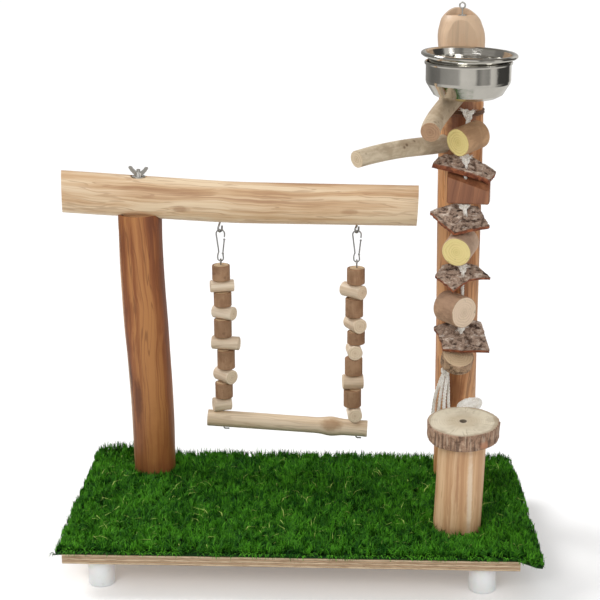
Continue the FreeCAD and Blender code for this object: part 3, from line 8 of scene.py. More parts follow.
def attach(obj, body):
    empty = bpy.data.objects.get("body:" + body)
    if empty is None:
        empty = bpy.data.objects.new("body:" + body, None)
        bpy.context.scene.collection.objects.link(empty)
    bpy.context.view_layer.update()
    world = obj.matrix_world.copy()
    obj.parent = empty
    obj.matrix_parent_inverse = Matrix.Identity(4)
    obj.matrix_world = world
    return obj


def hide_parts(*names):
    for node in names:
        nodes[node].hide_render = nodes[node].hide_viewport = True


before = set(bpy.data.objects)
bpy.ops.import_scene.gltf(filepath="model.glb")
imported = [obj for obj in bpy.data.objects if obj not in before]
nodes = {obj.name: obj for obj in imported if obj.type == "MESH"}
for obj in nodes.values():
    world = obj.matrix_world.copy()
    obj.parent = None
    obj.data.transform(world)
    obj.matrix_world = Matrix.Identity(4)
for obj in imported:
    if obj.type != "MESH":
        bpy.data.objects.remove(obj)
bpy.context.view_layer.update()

MM = 0.001
BOARD_MIDDLE = Vector((2.995, -5.0, 0.0))
UP = Vector((0, 0, 1))
BOARD_UNDER, BOARD_TOP, PLY = 36.0, 48.0, 2.4


def placed(x, y, z):
    """A point of the board's frame, given in millimetres, in the scene."""
    return (Vector((x, y, z)) + BOARD_MIDDLE) * MM


def tone(red, green, blue):
    """Linear colour of a tone noted in eight-bit steps."""
    steps = [v / 255 for v in (red, green, blue)]
    return (*[v / 12.92 if v <= 0.04045 else ((v + 0.055) / 1.055) ** 2.4 for v in steps], 1.0)


def tint(red, green, blue, share):
    """A tone and how much of it shows."""
    return (*tone(red, green, blue)[:3], share)


def heading(turn, fall=0.0):
    """Direction turned from +X about the vertical and falling by fall, both in degrees."""
    turn, fall = math.radians(turn), math.radians(fall)
    return Vector((math.cos(turn) * math.cos(fall), math.sin(turn) * math.cos(fall), -math.sin(fall)))


def add_object(name, data):
    """A new object in the scene."""
    thing = bpy.data.objects.new(name, data)
    bpy.context.scene.collection.objects.link(thing)
    return thing


# ---- camera ----

lens = bpy.data.cameras.new("stand_camera")
lens.lens = 96.0
lens.sensor_width = 36.0
lens.clip_start = 0.05
camera = add_object("stand_camera", lens)
camera.location = placed(105.53379, -1895.61736, 884.63796)
camera.rotation_euler = [math.radians(a) for a in (73.60055, 0.3144, 2.89659)]
bpy.context.scene.camera = camera

# ---- node trees ----


class Net:
    """Places and joins the nodes of one tree."""

    def __init__(self, tree):
        self.tree = tree

    def put(self, kind, inputs=None, **settings):
        node = self.tree.nodes.new(kind)
        for key, value in settings.items():
            setattr(node, key, value)
        for key, value in (inputs or {}).items():
            self.feed(node.inputs[key], value)
        return node

    def feed(self, socket, value):
        if isinstance(value, bpy.types.NodeSocket):
            self.tree.links.new(value, socket)
        elif value is not None:
            socket.default_value = value

    def calc(self, operation, *terms):
        node = self.put("ShaderNodeMath", operation=operation)
        for socket, term in zip(node.inputs, terms):
            self.feed(socket, term)
        return node.outputs[0]

    def plus(self, first, second):
        return self.calc("ADD", first, second)

    def minus(self, first, second):
        return self.calc("SUBTRACT", first, second)

    def times(self, first, second):
        return self.calc("MULTIPLY", first, second)

    def raised(self, base, value, amount):
        """The base with an amount of the value on top."""
        return self.plus(base, self.times(value, amount))

    def vector(self, operation, *terms):
        node = self.put("ShaderNodeVectorMath", operation=operation)
        for socket, term in zip(node.inputs, terms):
            self.feed(socket, term)
        return node.outputs["Value" if operation in ("DOT_PRODUCT", "LENGTH") else "Vector"]

    def noise(self, vector, scale, detail=3.0, rough=0.55, warp=0.0):
        inputs = {"Vector": vector, "Scale": scale, "Detail": detail, "Roughness": rough,
                  "Distortion": warp}
        return self.put("ShaderNodeTexNoise", inputs).outputs["Fac"]

    def cells(self, vector, scale):
        return self.put("ShaderNodeTexVoronoi", {"Vector": vector, "Scale": scale}).outputs["Distance"]

    def step(self, value, low, high, start=0.0, end=1.0):
        inputs = {"Value": value, "From Min": low, "From Max": high, "To Min": start, "To Max": end}
        return self.put("ShaderNodeMapRange", inputs, interpolation_type="SMOOTHSTEP").outputs[0]

    def mix(self, share, first, second):
        node = self.put("ShaderNodeMix", data_type="RGBA")
        self.feed(node.inputs[0], share)
        self.feed(node.inputs[6], first)
        self.feed(node.inputs[7], second)
        return node.outputs[2]

    def mix_numbers(self, share, first, second):
        return self.put("ShaderNodeMix", {0: share, 2: first, 3: second}, data_type="FLOAT").outputs[0]

    def apart(self, vector):
        return self.put("ShaderNodeSeparateXYZ", {"Vector": vector}).outputs

    def together(self, x, y, z):
        return self.put("ShaderNodeCombineXYZ", {"X": x, "Y": y, "Z": z}).outputs[0]

    def seeded(self, place, seed):
        """The place moved by a seed, so that no two pieces show the same pattern."""
        return self.vector("ADD", place, self.together(seed, seed, seed))

    def field(self, name):
        """A number kept at the corners of the mesh."""
        return self.put("ShaderNodeAttribute", attribute_name=name).outputs["Fac"]

    def use(self, group, **inputs):
        node = self.put("ShaderNodeGroup", node_tree=group)
        for key, value in inputs.items():
            self.feed(node.inputs[key.replace("_", " ")], value)
        return node.outputs


KINDS = {"v": "NodeSocketVector", "c": "NodeSocketColor", "f": "NodeSocketFloat"}


def effect(name, inputs, outputs):
    """An empty effect shared by several finishes: its net, what comes in and what goes out."""
    tree = bpy.data.node_groups.new(name, "ShaderNodeTree")
    for label, kind in inputs:
        tree.interface.new_socket(label, in_out="INPUT", socket_type=KINDS[kind])
    for label, kind in outputs:
        tree.interface.new_socket(label, in_out="OUTPUT", socket_type=KINDS[kind])
    net = Net(tree)
    came = net.put("NodeGroupInput").outputs
    goes = net.put("NodeGroupOutput").inputs
    return tree, net, came, goes


def make_log_frame():
    """Place along and across a piece of round wood: Z runs along it from its middle."""
    tree, net, came, goes = effect(
        "log frame",
        [("Point", "v"), ("Middle", "v"), ("Across", "v"), ("Aside", "v"), ("Along", "v")],
        [("Place", "v"), ("Radius", "f")],
    )
    offset = net.vector("SUBTRACT", came["Point"], came["Middle"])
    x, y, z = [net.vector("DOT_PRODUCT", offset, came[k]) for k in ("Across", "Aside", "Along")]
    net.feed(goes["Place"], net.together(x, y, z))
    net.feed(goes["Radius"], net.vector("LENGTH", net.together(x, y, 0.0)))
    return tree


def make_peeled_wood():
    """Peeled and sanded log: flowing grain, darker streaks, fine fibres and a few small knots."""
    tree, net, came, goes = effect(
        "peeled wood",
        [("Place", "v"), ("Seed", "f"), ("Pale", "c"), ("Warm", "c"), ("Dark", "c"),
         ("Streaks", "f"), ("Knots", "f"), ("Wave", "f")],
        [("Color", "c"), ("Height", "f"), ("Roughness", "f")],
    )
    moved = net.seeded(came["Place"], came["Seed"])
    bend = net.noise(moved, 9.0, 2.0)
    x, y, z = net.apart(moved)
    x = net.raised(x, bend, came["Wave"])
    wide = net.together(x, y, net.times(z, 0.07))
    long = net.together(x, y, net.times(z, 0.016))
    broad = net.noise(wide, 34.0, 4.0, 0.5, 0.35)
    narrow = net.noise(long, 130.0, 5.0, 0.62, 0.4)
    fibre = net.noise(long, 700.0, 4.0, 0.65)
    cloud = net.noise(moved, 7.0, 2.0)
    level = net.plus(net.times(broad, 0.62), net.times(narrow, 0.50))
    level = net.raised(level, fibre, 0.20)
    level = net.raised(level, cloud, 0.18)
    pale = net.step(level, 0.70, 0.86)
    dark = net.step(level, 0.75, 0.60)
    dark = net.times(dark, came["Streaks"])
    color = net.mix(pale, came["Warm"], came["Pale"])
    color = net.mix(dark, color, came["Dark"])
    ring = net.calc("SINE", net.times(broad, 70.0))
    line = net.times(net.step(ring, 0.70, 1.0), net.times(came["Streaks"], 0.62))
    line = net.times(line, net.step(narrow, 0.32, 0.56))
    color = net.mix(line, color, came["Dark"])
    spots = net.together(x, y, net.times(z, 0.55))
    spot = net.step(net.cells(spots, 15.0), 0.17, 0.06)
    eye = net.step(net.cells(spots, 15.0), 0.06, 0.03)
    spot = net.times(spot, came["Knots"])
    color = net.mix(spot, color, net.mix(0.5, came["Warm"], came["Dark"]))
    color = net.mix(net.times(eye, came["Knots"]), color, net.mix(0.4, came["Dark"], (0, 0, 0, 1)))
    net.feed(goes["Color"], color)
    height = net.raised(broad, fibre, 0.12)
    net.feed(goes["Height"], net.minus(height, net.times(line, 0.06)))
    net.feed(goes["Roughness"], net.raised(0.40, narrow, 0.28))
    return tree


def make_smooth_bark():
    """Thin smooth bark of a young branch: mottled, with specks and fine wrinkles."""
    tree, net, came, goes = effect(
        "smooth bark",
        [("Place", "v"), ("Seed", "f"), ("Pale", "c"), ("Warm", "c"), ("Dark", "c"), ("Specks", "f")],
        [("Color", "c"), ("Height", "f"), ("Roughness", "f")],
    )
    moved = net.seeded(came["Place"], came["Seed"])
    x, y, z = net.apart(moved)
    cloud = net.noise(moved, 45.0, 5.0, 0.6, 0.4)
    grain = net.noise(net.together(x, y, net.times(z, 0.2)), 320.0, 4.0, 0.65)
    wrinkle = net.noise(net.together(x, y, net.times(z, 4.0)), 120.0, 3.0, 0.6)
    level = net.plus(net.times(cloud, 0.7), net.times(grain, 0.3))
    color = net.mix(net.step(level, 0.40, 0.62), came["Warm"], came["Pale"])
    far = net.noise(moved, 16.0, 1.0)
    color = net.mix(net.step(far, 0.55, 0.40, 0.0, 0.35), color, net.mix(0.5, came["Warm"], came["Dark"]))
    speck = net.step(net.cells(moved, 95.0), 0.30, 0.12)
    patch = net.step(net.noise(moved, 26.0, 3.0), 0.50, 0.62)
    speck = net.times(net.times(speck, patch), came["Specks"])
    color = net.mix(speck, color, came["Dark"])
    crease = net.step(wrinkle, 0.36, 0.28)
    color = net.mix(net.times(crease, 0.35), color, came["Dark"])
    net.feed(goes["Color"], color)
    height = net.plus(net.times(cloud, 0.6), net.times(grain, 0.3))
    net.feed(goes["Height"], net.minus(height, net.times(crease, 0.3)))
    net.feed(goes["Roughness"], net.raised(0.62, cloud, 0.25))
    return tree


def make_end_grain():
    """Sawn end of round wood: growth rings, a darker heart, saw marks and the rim of bark."""
    tree, net, came, goes = effect(
        "end grain",
        [("Place", "v"), ("Radius", "f"), ("Size", "f"), ("Pale", "c"), ("Ring", "c"), ("Rim", "c"),
         ("Rim width", "f")],
        [("Color", "c"), ("Height", "f"), ("Roughness", "f")],
    )
    sway = net.noise(came["Place"], 60.0, 3.0)
    radius = net.plus(came["Radius"], net.times(net.minus(sway, 0.5), 0.006))
    rings = net.calc("SINE", net.times(radius, 2000.0))
    faded = net.step(net.noise(came["Place"], 45.0, 2.0), 0.35, 0.7, 0.15, 0.6)
    fine = net.noise(came["Place"], 900.0, 3.0)
    heart = net.step(net.calc("DIVIDE", radius, came["Size"]), 0.45, 0.05)
    share = net.times(net.step(rings, -0.2, 1.0), faded)
    share = net.raised(share, heart, 0.35)
    share = net.plus(share, net.times(net.minus(fine, 0.5), 0.6))
    color = net.mix(share, came["Pale"], came["Ring"])
    x, y, z = net.apart(came["Place"])
    spoke = net.together(net.times(net.calc("ARCTAN2", x, y), 1.6), net.times(radius, 40.0), 3.0)
    split = net.step(net.noise(spoke, 2.2, 3.0), 0.66, 0.70)
    color = net.mix(net.times(split, 0.6), color, net.mix(0.5, came["Ring"], (0.02, 0.01, 0.0, 1)))
    inner = net.minus(came["Size"], came["Rim width"])
    rim = net.step(radius, inner, net.plus(inner, 0.0004))
    color = net.mix(rim, color, came["Rim"])
    net.feed(goes["Color"], color)
    net.feed(goes["Height"], net.plus(net.times(rings, 0.15), fine))
    net.feed(goes["Roughness"], net.raised(0.66, fine, 0.2))
    return tree


def make_rough_bark():
    """Old rough bark: pits, furrows and pale weathered ridges."""
    tree, net, came, goes = effect(
        "rough bark",
        [("Place", "v"), ("Seed", "f"), ("Pale", "c"), ("Warm", "c"), ("Dark", "c")],
        [("Color", "c"), ("Height", "f"), ("Roughness", "f")],
    )
    moved = net.seeded(came["Place"], came["Seed"])
    furrow = net.noise(moved, 120.0, 6.0, 0.65, 0.6)
    pit = net.cells(moved, 230.0)
    dust = net.noise(moved, 600.0, 4.0, 0.7)
    level = net.plus(net.times(furrow, 0.75), net.times(dust, 0.25))
    color = net.mix(net.step(level, 0.40, 0.52), came["Dark"], came["Warm"])
    color = net.mix(net.step(level, 0.53, 0.66), color, came["Pale"])
    color = net.mix(net.times(net.step(pit, 0.22, 0.08), 0.75), color, came["Dark"])
    net.feed(goes["Color"], color)
    net.feed(goes["Height"], net.raised(level, pit, 0.4))
    net.feed(goes["Roughness"], net.raised(0.72, dust, 0.2))
    return tree


LOG_FRAME = make_log_frame()
PEELED = make_peeled_wood()
SMOOTH_BARK = make_smooth_bark()
END_GRAIN = make_end_grain()
ROUGH_BARK = make_rough_bark()


def new_finish(name):
    """A new material, with its net, its surface shader and its texture coordinates."""
    material = bpy.data.materials.new(name)
    material.use_nodes = True
    tree = material.node_tree
    tree.nodes.clear()
    net = Net(tree)
    surface = net.put("ShaderNodeBsdfPrincipled")
    output = net.put("ShaderNodeOutputMaterial")
    tree.links.new(surface.outputs[0], output.inputs["Surface"])
    return material, net, surface, net.put("ShaderNodeTexCoord").outputs


def cover(net, surface, color, rough, height, depth):
    """Gives the surface its colour, its roughness and a relief, depth metres deep from 0 to 1."""
    net.feed(surface.inputs["Base Color"], color)
    net.feed(surface.inputs["Roughness"], rough)
    bump = net.put("ShaderNodeBump", {"Height": height, "Strength": 1.0, "Distance": depth})
    net.feed(surface.inputs["Normal"], bump.outputs[0])


def axes_of(along):
    """Two directions across a piece that runs along the given one."""
    along = along.normalized()
    across = along.cross(Vector((0.3, -0.9, 0.2))).normalized()
    return across, along.cross(across).normalized(), along


def peeled(seed, pale, warm, dark, streaks, knots, wave):
    """Settings of peeled wood, with its tones in eight-bit steps."""
    return PEELED, dict(Seed=seed, Pale=tone(*pale), Warm=tone(*warm), Dark=tone(*dark),
                        Streaks=streaks, Knots=knots, Wave=wave)


def smooth_bark(seed, pale, warm, dark, specks):
    """The same of smooth bark."""
    return SMOOTH_BARK, dict(Seed=seed, Pale=tone(*pale), Warm=tone(*warm), Dark=tone(*dark),
                             Specks=specks)


def rough_bark(seed, pale, warm, dark):
    """The same of rough bark."""
    return ROUGH_BARK, dict(Seed=seed, Pale=tone(*pale), Warm=tone(*warm), Dark=tone(*dark))


def sawn(radius, pale, ring, rim, rim_width):
    """The same of a sawn end."""
    return dict(Size=radius, Pale=tone(*pale), Ring=tone(*ring), Rim=tone(*rim), Rim_width=rim_width)


def round_wood(name, middle, along, side, end=None, stains=(), gloss=0.0, depth=0.0012, marks=(),
               end_middle=None, end_along=None):
    """Finish of round wood: its side, its sawn ends, stains near a level, and marks and painted highlights at
    a place.

    A stain is (full level, level where it ends, tint), each mark and painted highlight is (centre, size,
    tint, stretch).
    A bent piece gives the middle of its sawn end and the way that end faces."""
    material, net, surface, place = new_finish(name)
    across, aside, along = axes_of(along)
    local = net.use(LOG_FRAME, Point=place["Object"], Middle=middle,
                    Across=across, Aside=aside, Along=along)
    group, values = side
    skin = net.use(group, Place=local["Place"], **values)
    color, height, rough = skin["Color"], skin["Height"], skin["Roughness"]
    for centre, size, mark_tone, stretch in marks:
        gap = net.vector("MULTIPLY", net.vector("SUBTRACT", place["Object"], centre), stretch)
        away = net.vector("LENGTH", gap)
        away = net.plus(away, net.times(net.noise(place["Object"], 180.0), size * 0.6))
        shown = net.step(away, size * 1.5, size * 0.7, 0.0, mark_tone[3])
        color = net.mix(shown, color, (*mark_tone[:3], 1.0))
    for low, high, stain_tone in stains:
        level = net.plus(net.apart(place["Object"])["Z"],
                         net.times(net.noise(place["Object"], 70.0), abs(high - low) * 0.8))
        washed = net.mix(net.step(height, 0.42, 0.68), tuple(c * 0.72 for c in stain_tone[:3]) + (1.0,),
                         tuple(c * 1.04 for c in stain_tone[:3]) + (1.0,))
        color = net.mix(net.step(level, high, low, 0.0, stain_tone[3]), color, washed)
    if end:
        face = local
        if end_middle:
            across, aside, along = axes_of(end_along)
            face = net.use(LOG_FRAME, Point=place["Object"], Middle=end_middle,
                           Across=across, Aside=aside, Along=along)
        cut = net.use(END_GRAIN, Place=face["Place"], Radius=face["Radius"], **end)
        facing = net.calc("ABSOLUTE", net.vector("DOT_PRODUCT", place["Normal"], along))
        share = net.step(facing, 0.66, 0.84)
        color = net.mix(share, color, cut["Color"])
        rough = net.mix_numbers(share, rough, cut["Roughness"])
        height = net.mix_numbers(share, height, cut["Height"])
    surface.inputs["Coat Weight"].default_value = gloss
    surface.inputs["Coat Roughness"].default_value = 0.28
    cover(net, surface, color, rough, height, depth)
    return material


def dress(node, material):
    """Gives a piece of the model its finish."""
    piece = nodes[node]
    if piece.material_slots:
        for material_slot in piece.material_slots:
            material_slot.material = material
    else:
        piece.data.materials.append(material)


# ---- posts, perch and branches ----

# middles of the sawn ends of the two bent branches
UPPER_END = (163.0, -20.0, 540.0)
LOWER_END = (75.5, 20.0, 499.0)

perch_side = peeled(1.7, (228, 204, 170), (206, 170, 130), (158, 112, 74),
                    streaks=0.7, knots=0.8, wave=0.02)
dress("perch_log", round_wood(
    "perch wood", placed(-80, 110, 428), Vector((1, 0, -0.035)), perch_side,
    sawn(0.027, (222, 192, 152), (190, 150, 108), (180, 138, 98), 0.0006),
    gloss=0.12, marks=[(placed(-150, 84, 420), 0.005, tint(150, 104, 66, 0.6), (0.4, 1, 1)),
                       (placed(66, 84, 418), 0.004, tint(158, 112, 74, 0.5), (0.3, 1, 1))]))

left_side = peeled(12.6, (184, 124, 68), (148, 84, 38), (104, 50, 18), streaks=0.8, knots=0.3, wave=0.02)
dress("left_post", round_wood(
    "left post wood", placed(-200, 110, 230), Vector((-0.02, 0, 1)), left_side,
    sawn(0.0282, (206, 160, 114), (168, 116, 72), (112, 68, 40), 0.001),
    stains=[(0.110, 0.250, tint(142, 84, 42, 0.5)), (0.058, 0.092, tint(92, 44, 18, 0.6))],
    gloss=0.15, depth=0.002,
    marks=[(placed(-223, 98, 190), 0.009, tint(78, 34, 14, 0.8), (1, 1, 0.35)),
           (placed(-214, 86, 158), 0.008, tint(92, 44, 20, 0.7), (1, 1, 0.22)),
           # the two long pale marks on the post's left side are a painted highlight
           (placed(-227, 104, 140), 0.011, tint(226, 188, 146, 0.5), (1, 1, 0.10)),
           (placed(-238, 104, 290), 0.013, tint(230, 192, 150, 0.6), (1, 1, 0.10)),
           (placed(-176, 92, 330), 0.007, tint(112, 62, 32, 0.6), (1, 1, 0.15))]))

tall_side = peeled(7.9, (208, 154, 104), (176, 114, 62), (100, 52, 22), streaks=0.9, knots=0.5, wave=0.025)
dress("tall_post", round_wood(
    "tall post wood", placed(206, 110, 350), UP, tall_side,
    stains=[(0.672, 0.600, tint(214, 186, 156, 0.85)), (0.052, 0.110, tint(104, 54, 22, 0.55))],
    gloss=0.2, depth=0.002,
    marks=[(placed(203, 84, 178), 0.014, tint(96, 44, 12, 0.55), (1, 1, 0.6)),
           (placed(206, 84, 545), 0.024, tint(104, 50, 26, 0.7), (1, 1, 0.7)),
           (placed(192, 86, 505), 0.012, tint(98, 48, 24, 0.5), (1, 1, 0.3))]))

short_side = peeled(2.6, (224, 188, 148), (204, 160, 118), (170, 118, 76),
                    streaks=0.6, knots=0.2, wave=0.012)
dress("short_post", round_wood(
    "short post wood", placed(205, -62, 110), Vector((0.04, 0, 1)), short_side,
    stains=[(0.058, 0.088, tint(140, 80, 34, 0.6))], gloss=0.1, depth=0.0015,
    marks=[(placed(216, -88, 110), 0.0042, tint(236, 216, 190, 0.75), (1, 1, 0.06)),
           (placed(201, -91, 120), 0.0022, tint(160, 106, 66, 0.5), (1, 1, 0.05))]))

upper_side = smooth_bark(3.3, (212, 194, 166), (180, 158, 130), (108, 86, 64), specks=0.5)
dress("upper_branch", round_wood(
    "upper branch bark", placed(168, 50, 556), Vector((-0.42, -0.78, -0.3)), upper_side,
    sawn(0.0152, (176, 140, 108), (140, 104, 76), (96, 74, 54), 0.0016), depth=0.0008,
    end_middle=placed(*UPPER_END), end_along=Vector((-0.25, -0.95, -0.18))))

lower_side = smooth_bark(5.2, (200, 184, 158), (170, 152, 126), (104, 80, 56), specks=0.9)
dress("lower_branch", round_wood(
    "lower branch bark", placed(110, 60, 503), Vector((-0.80, -0.58, -0.05)), lower_side,
    sawn(0.0142, (216, 196, 166), (180, 154, 120), (136, 112, 88), 0.0012), depth=0.0008,
    end_middle=placed(*LOWER_END), end_along=Vector((-0.72, -0.68, -0.12))))

# ---- swing ----

WIRE_X = {"left": -102.2, "right": 74.8}
# from the top down: level, shift off the wire, turn and width of each bead
CROSS_BEADS = {
    "left": [(311.965, 1.0, 12, 16.0), (275.865, 3.0, -28, 18.0), (233.765, 4.5, -8, 18.0),
             (188.915, 3.0, -48, 19.5), (148.315, -2.0, 18, 18.5)],
    "right": [(306.965, -4.5, -42, 19.0), (261.865, -2.0, -62, 20.0), (225.015, -3.0, -82, 19.5),
              (181.665, -4.5, 8, 20.0), (137.565, -2.5, -84, 19.0)],
}
for side, rows in CROSS_BEADS.items():
    for number, (level, shift, turn, width) in enumerate(rows, 1):
        seed = number * 1.37 + (6.0 if side == "right" else 0.0)
        wood = peeled(seed, (228, 211, 187), (208, 185, 157), (166, 134, 102),
                      streaks=0.5, knots=0.7 if number % 2 == 0 else 0.0, wave=0.01)
        dress(f"{side}_cross_bead_{number}", round_wood(
            f"{side} cross bead {number} wood", placed(WIRE_X[side] + shift, 110, level),
            heading(turn), wood,
            sawn(width * MM / 2, (226, 206, 178), (196, 168, 136), (172, 142, 112), 0.0006), depth=0.0006))
    seed = 2.0 if side == "left" else 8.0
    wood = smooth_bark(seed, (168, 132, 100), (142, 106, 76), (98, 68, 46), specks=0.45)
    dress(f"{side}_bark_beads", round_wood(
        f"{side} bark bead", placed(WIRE_X[side], 110, 230), UP, wood,
        sawn(0.0102, (218, 190, 152), (192, 158, 118), (150, 112, 78), 0.0012), depth=0.0007))

bar_side = peeled(9.4, (228, 208, 180), (208, 184, 152), (160, 128, 96), streaks=0.6, knots=0.3, wave=0.01)
dress("swing_bar", round_wood(
    "swing bar wood", placed(-14, 110, 121), Vector((1, 0, -0.062)), bar_side,
    sawn(0.0115, (220, 198, 160), (196, 168, 128), (186, 158, 118), 0.0006), depth=0.0008,
    marks=[(placed(42, 100, 124), 0.010, tint(162, 126, 88, 0.8), (0.6, 1, 1))]))

# ---- metal, plastic, plywood and twine ----


def bright_metal(name, color, rough, spin=None, wear=0.08):
    """Bright metal: smooth, with faint marks from its making and from handling."""
    material, net, surface, place = new_finish(name)
    point = place["Object"]
    smudge = net.noise(point, 70.0, 4.0)
    if spin:
        flat = net.vector("SUBTRACT", point, spin)
        x, y, z = net.apart(flat)
        point = net.together(net.vector("LENGTH", net.together(x, y, 0.0)), z, 0.0)
        mark = net.noise(point, 900.0, 3.0)
    else:
        mark = net.noise(point, 700.0, 3.0)
    level = net.raised(rough, mark, wear)
    level = net.raised(level, smudge, wear)
    dim = tuple(c * 0.82 for c in color[:3]) + (1.0,)
    surface.inputs["Metallic"].default_value = 1.0
    cover(net, surface, net.mix(smudge, color, dim), level, net.raised(mark, smudge, 3.0), 0.00006)
    return material


zinc = bright_metal("zinc plate", tone(205, 204, 200), 0.22, wear=0.14)
wire_steel = bright_metal("spring wire", tone(172, 172, 172), 0.24, wear=0.12)
for node in ("foot_screws", "post_screws", "branch_screws", "holder_screws", "holder_spacers", "eye_screw",
             "slice_screw", "perch_bolt", "perch_washer", "wing_nut"):
    dress(node, zinc)
for node in ("left_clip", "right_clip", "left_clip_gate", "right_clip_gate", "left_hook", "right_hook",
             "left_wire", "right_wire"):
    dress(node, wire_steel)
stainless = bright_metal("stainless steel", tone(214, 212, 206), 0.07, spin=placed(208.7, 28, 0), wear=0.05)
dress("bowl_holder", stainless)
dress("food_bowl", stainless)


def white_plastic():
    """Moulded white plastic with faint scuffs."""
    material, net, surface, place = new_finish("white foot plastic")
    grain = net.noise(place["Object"], 420.0, 3.0)
    scuff = net.step(net.noise(place["Object"], 90.0, 5.0, 0.7), 0.56, 0.66)
    color = net.mix(net.times(scuff, 0.4), tone(242, 240, 240), tone(222, 218, 214))
    surface.inputs["Subsurface Weight"].default_value = 0.15
    cover(net, surface, color, net.raised(0.32, grain, 0.2), grain, 0.0001)
    return material


foot_plastic = white_plastic()
for node in ("foot_front_left", "foot_front_right", "foot_rear_left", "foot_rear_right"):
    dress(node, foot_plastic)


def plywood():
    """Five-ply board: glue lines and alternating plies at its edges, plain veneer on its faces."""
    material, net, surface, place = new_finish("plywood")
    point = place["Object"]
    x, y, z = net.apart(point)
    wander = net.times(net.minus(net.noise(net.together(x, y, 0.0), 14.0, 3.0), 0.5), 0.0016)
    level = net.calc("DIVIDE", net.plus(net.minus(z, BOARD_UNDER * MM), wander), PLY * MM)
    part = net.calc("FRACT", level)
    glue = net.calc("MAXIMUM", net.step(part, 0.12, 0.0), net.step(part, 0.90, 1.0))
    odd = net.step(net.calc("FRACT", net.times(level, 0.5)), 0.48, 0.52)
    fibre = net.noise(net.together(net.times(x, 0.05), net.times(y, 0.05), z), 1500.0, 4.0)
    pore = net.noise(net.together(x, y, net.times(z, 3.0)), 260.0, 5.0, 0.7)
    edge = net.mix(odd, tone(212, 188, 156), tone(188, 158, 126))
    edge = net.mix(net.step(fibre, 0.45, 0.7), edge, tone(152, 120, 88))
    edge = net.mix(net.times(glue, 0.8), edge, tone(108, 80, 56))
    edge = net.mix(net.step(pore, 0.62, 0.72), edge, tone(122, 92, 64))
    face = net.noise(net.together(net.times(x, 0.08), y, z), 130.0, 5.0, 0.6, 0.4)
    veneer = net.mix(net.step(face, 0.35, 0.7), tone(222, 194, 154), tone(186, 146, 104))
    flat = net.step(net.calc("ABSOLUTE", net.apart(place["Normal"])["Z"]), 0.6, 0.9)
    cover(net, surface, net.mix(flat, edge, veneer), net.raised(0.6, pore, 0.2),
          net.raised(fibre, glue, -0.8), 0.0005)
    return material


dress("base_board", plywood())


FIBRE_GRAIN, FIBRE_RELIEF = 900.0, 0.0005


def fibre_finish(name, pale, dark):
    """Spun fibre, such as cotton or twine: soft, with painted shade in the hollows between its fibres."""
    material, net, surface, place = new_finish(name)
    fuzz = net.noise(place["Object"], FIBRE_GRAIN, 5.0, 0.7)
    cloud = net.noise(place["Object"], 90.0, 3.0)
    level = net.plus(net.times(fuzz, 0.7), net.times(cloud, 0.3))
    surface.inputs["Sheen Weight"].default_value = 0.2
    # the dark tone is painted shade in the hollows of the fibre relief, mixed with some tone that varies at
    # random
    color = net.mix(net.step(level, 0.34, 0.60), dark, pale)
    cover(net, surface, color, net.raised(0.78, fuzz, 0.2), fuzz, FIBRE_RELIEF)
    return material


cotton = fibre_finish("cotton", tone(252, 249, 243), tone(206, 196, 178))
dress("hanger_twine", fibre_finish("dark twine", tone(122, 84, 54), tone(58, 34, 20)))

# ---- meshes ----


def wall(rings, spokes):
    """Faces that join each ring of corners to the next one."""
    faces = []
    for i in range(rings - 1):
        for j in range(spokes):
            k = (j + 1) % spokes
            faces.append((i * spokes + j, i * spokes + k, (i + 1) * spokes + k, (i + 1) * spokes + j))
    return faces


def closed_wall(rings, spokes):
    """The same, with a face over the first and the last ring."""
    return wall(rings, spokes) + [
        tuple(range(spokes - 1, -1, -1)), tuple((rings - 1) * spokes + j for j in range(spokes))]


def sheet(rows, columns):
    """Faces of a sheet: its upper grid of corners, its lower one and the edge between them."""
    half = rows * columns
    faces = []
    for i in range(rows - 1):
        for j in range(columns - 1):
            a, b = i * columns + j, i * columns + j + 1
            c, d = b + columns, a + columns
            faces += [(a, b, c, d), (half + d, half + c, half + b, half + a)]
    border = list(range(columns))
    border += [i * columns + columns - 1 for i in range(1, rows)]
    border += [(rows - 1) * columns + j for j in range(columns - 2, -1, -1)]
    border += [i * columns for i in range(rows - 2, 0, -1)]
    return faces + [(half + a, half + b, b, a) for a, b in zip(border, border[1:] + border[:1])]


class Form:
    """Corners and faces gathered for one mesh, in millimetres of the board's frame."""

    def __init__(self):
        self.corners = []
        self.faces = []
        self.count = 0

    def add(self, corners, faces):
        self.corners.append(np.asarray(corners, dtype=float))
        self.faces.extend([tuple(i + self.count for i in face) for face in faces])
        self.count += len(corners)

    def tube(self, path, radius, sides=8):
        """A tube along a path; the radius is one number or one per point."""
        path = np.asarray(path, dtype=float)
        radius = np.broadcast_to(np.asarray(radius, dtype=float), (len(path),))
        tangent = np.gradient(path, axis=0)
        tangent /= np.linalg.norm(tangent, axis=1)[:, None] + 1e-12
        across, aside = carried_axes(tangent)
        turn = np.linspace(0, 2 * np.pi, sides, endpoint=False)
        ring = np.cos(turn)[None, :, None] * across[:, None, :]
        ring = ring + np.sin(turn)[None, :, None] * aside[:, None, :]
        corners = path[:, None, :] + ring * radius[:, None, None]
        self.add(corners.reshape(-1, 3), closed_wall(len(path), sides))

    def piece(self, name, material, fields=None):
        """The finished object, in the scene's metres."""
        corners = (np.concatenate(self.corners) + np.array(BOARD_MIDDLE)) * MM
        mesh = bpy.data.meshes.new(name)
        mesh.from_pydata(corners.tolist(), [], self.faces)
        mesh.update()
        for label, values in (fields or {}).items():
            field = mesh.attributes.new(label, "FLOAT", "POINT")
            field.data.foreach_set("value", np.asarray(values, dtype=np.float32))
        mesh.polygons.foreach_set("use_smooth", [True] * len(mesh.polygons))
        mesh.materials.append(material)
        return add_object(name, mesh)


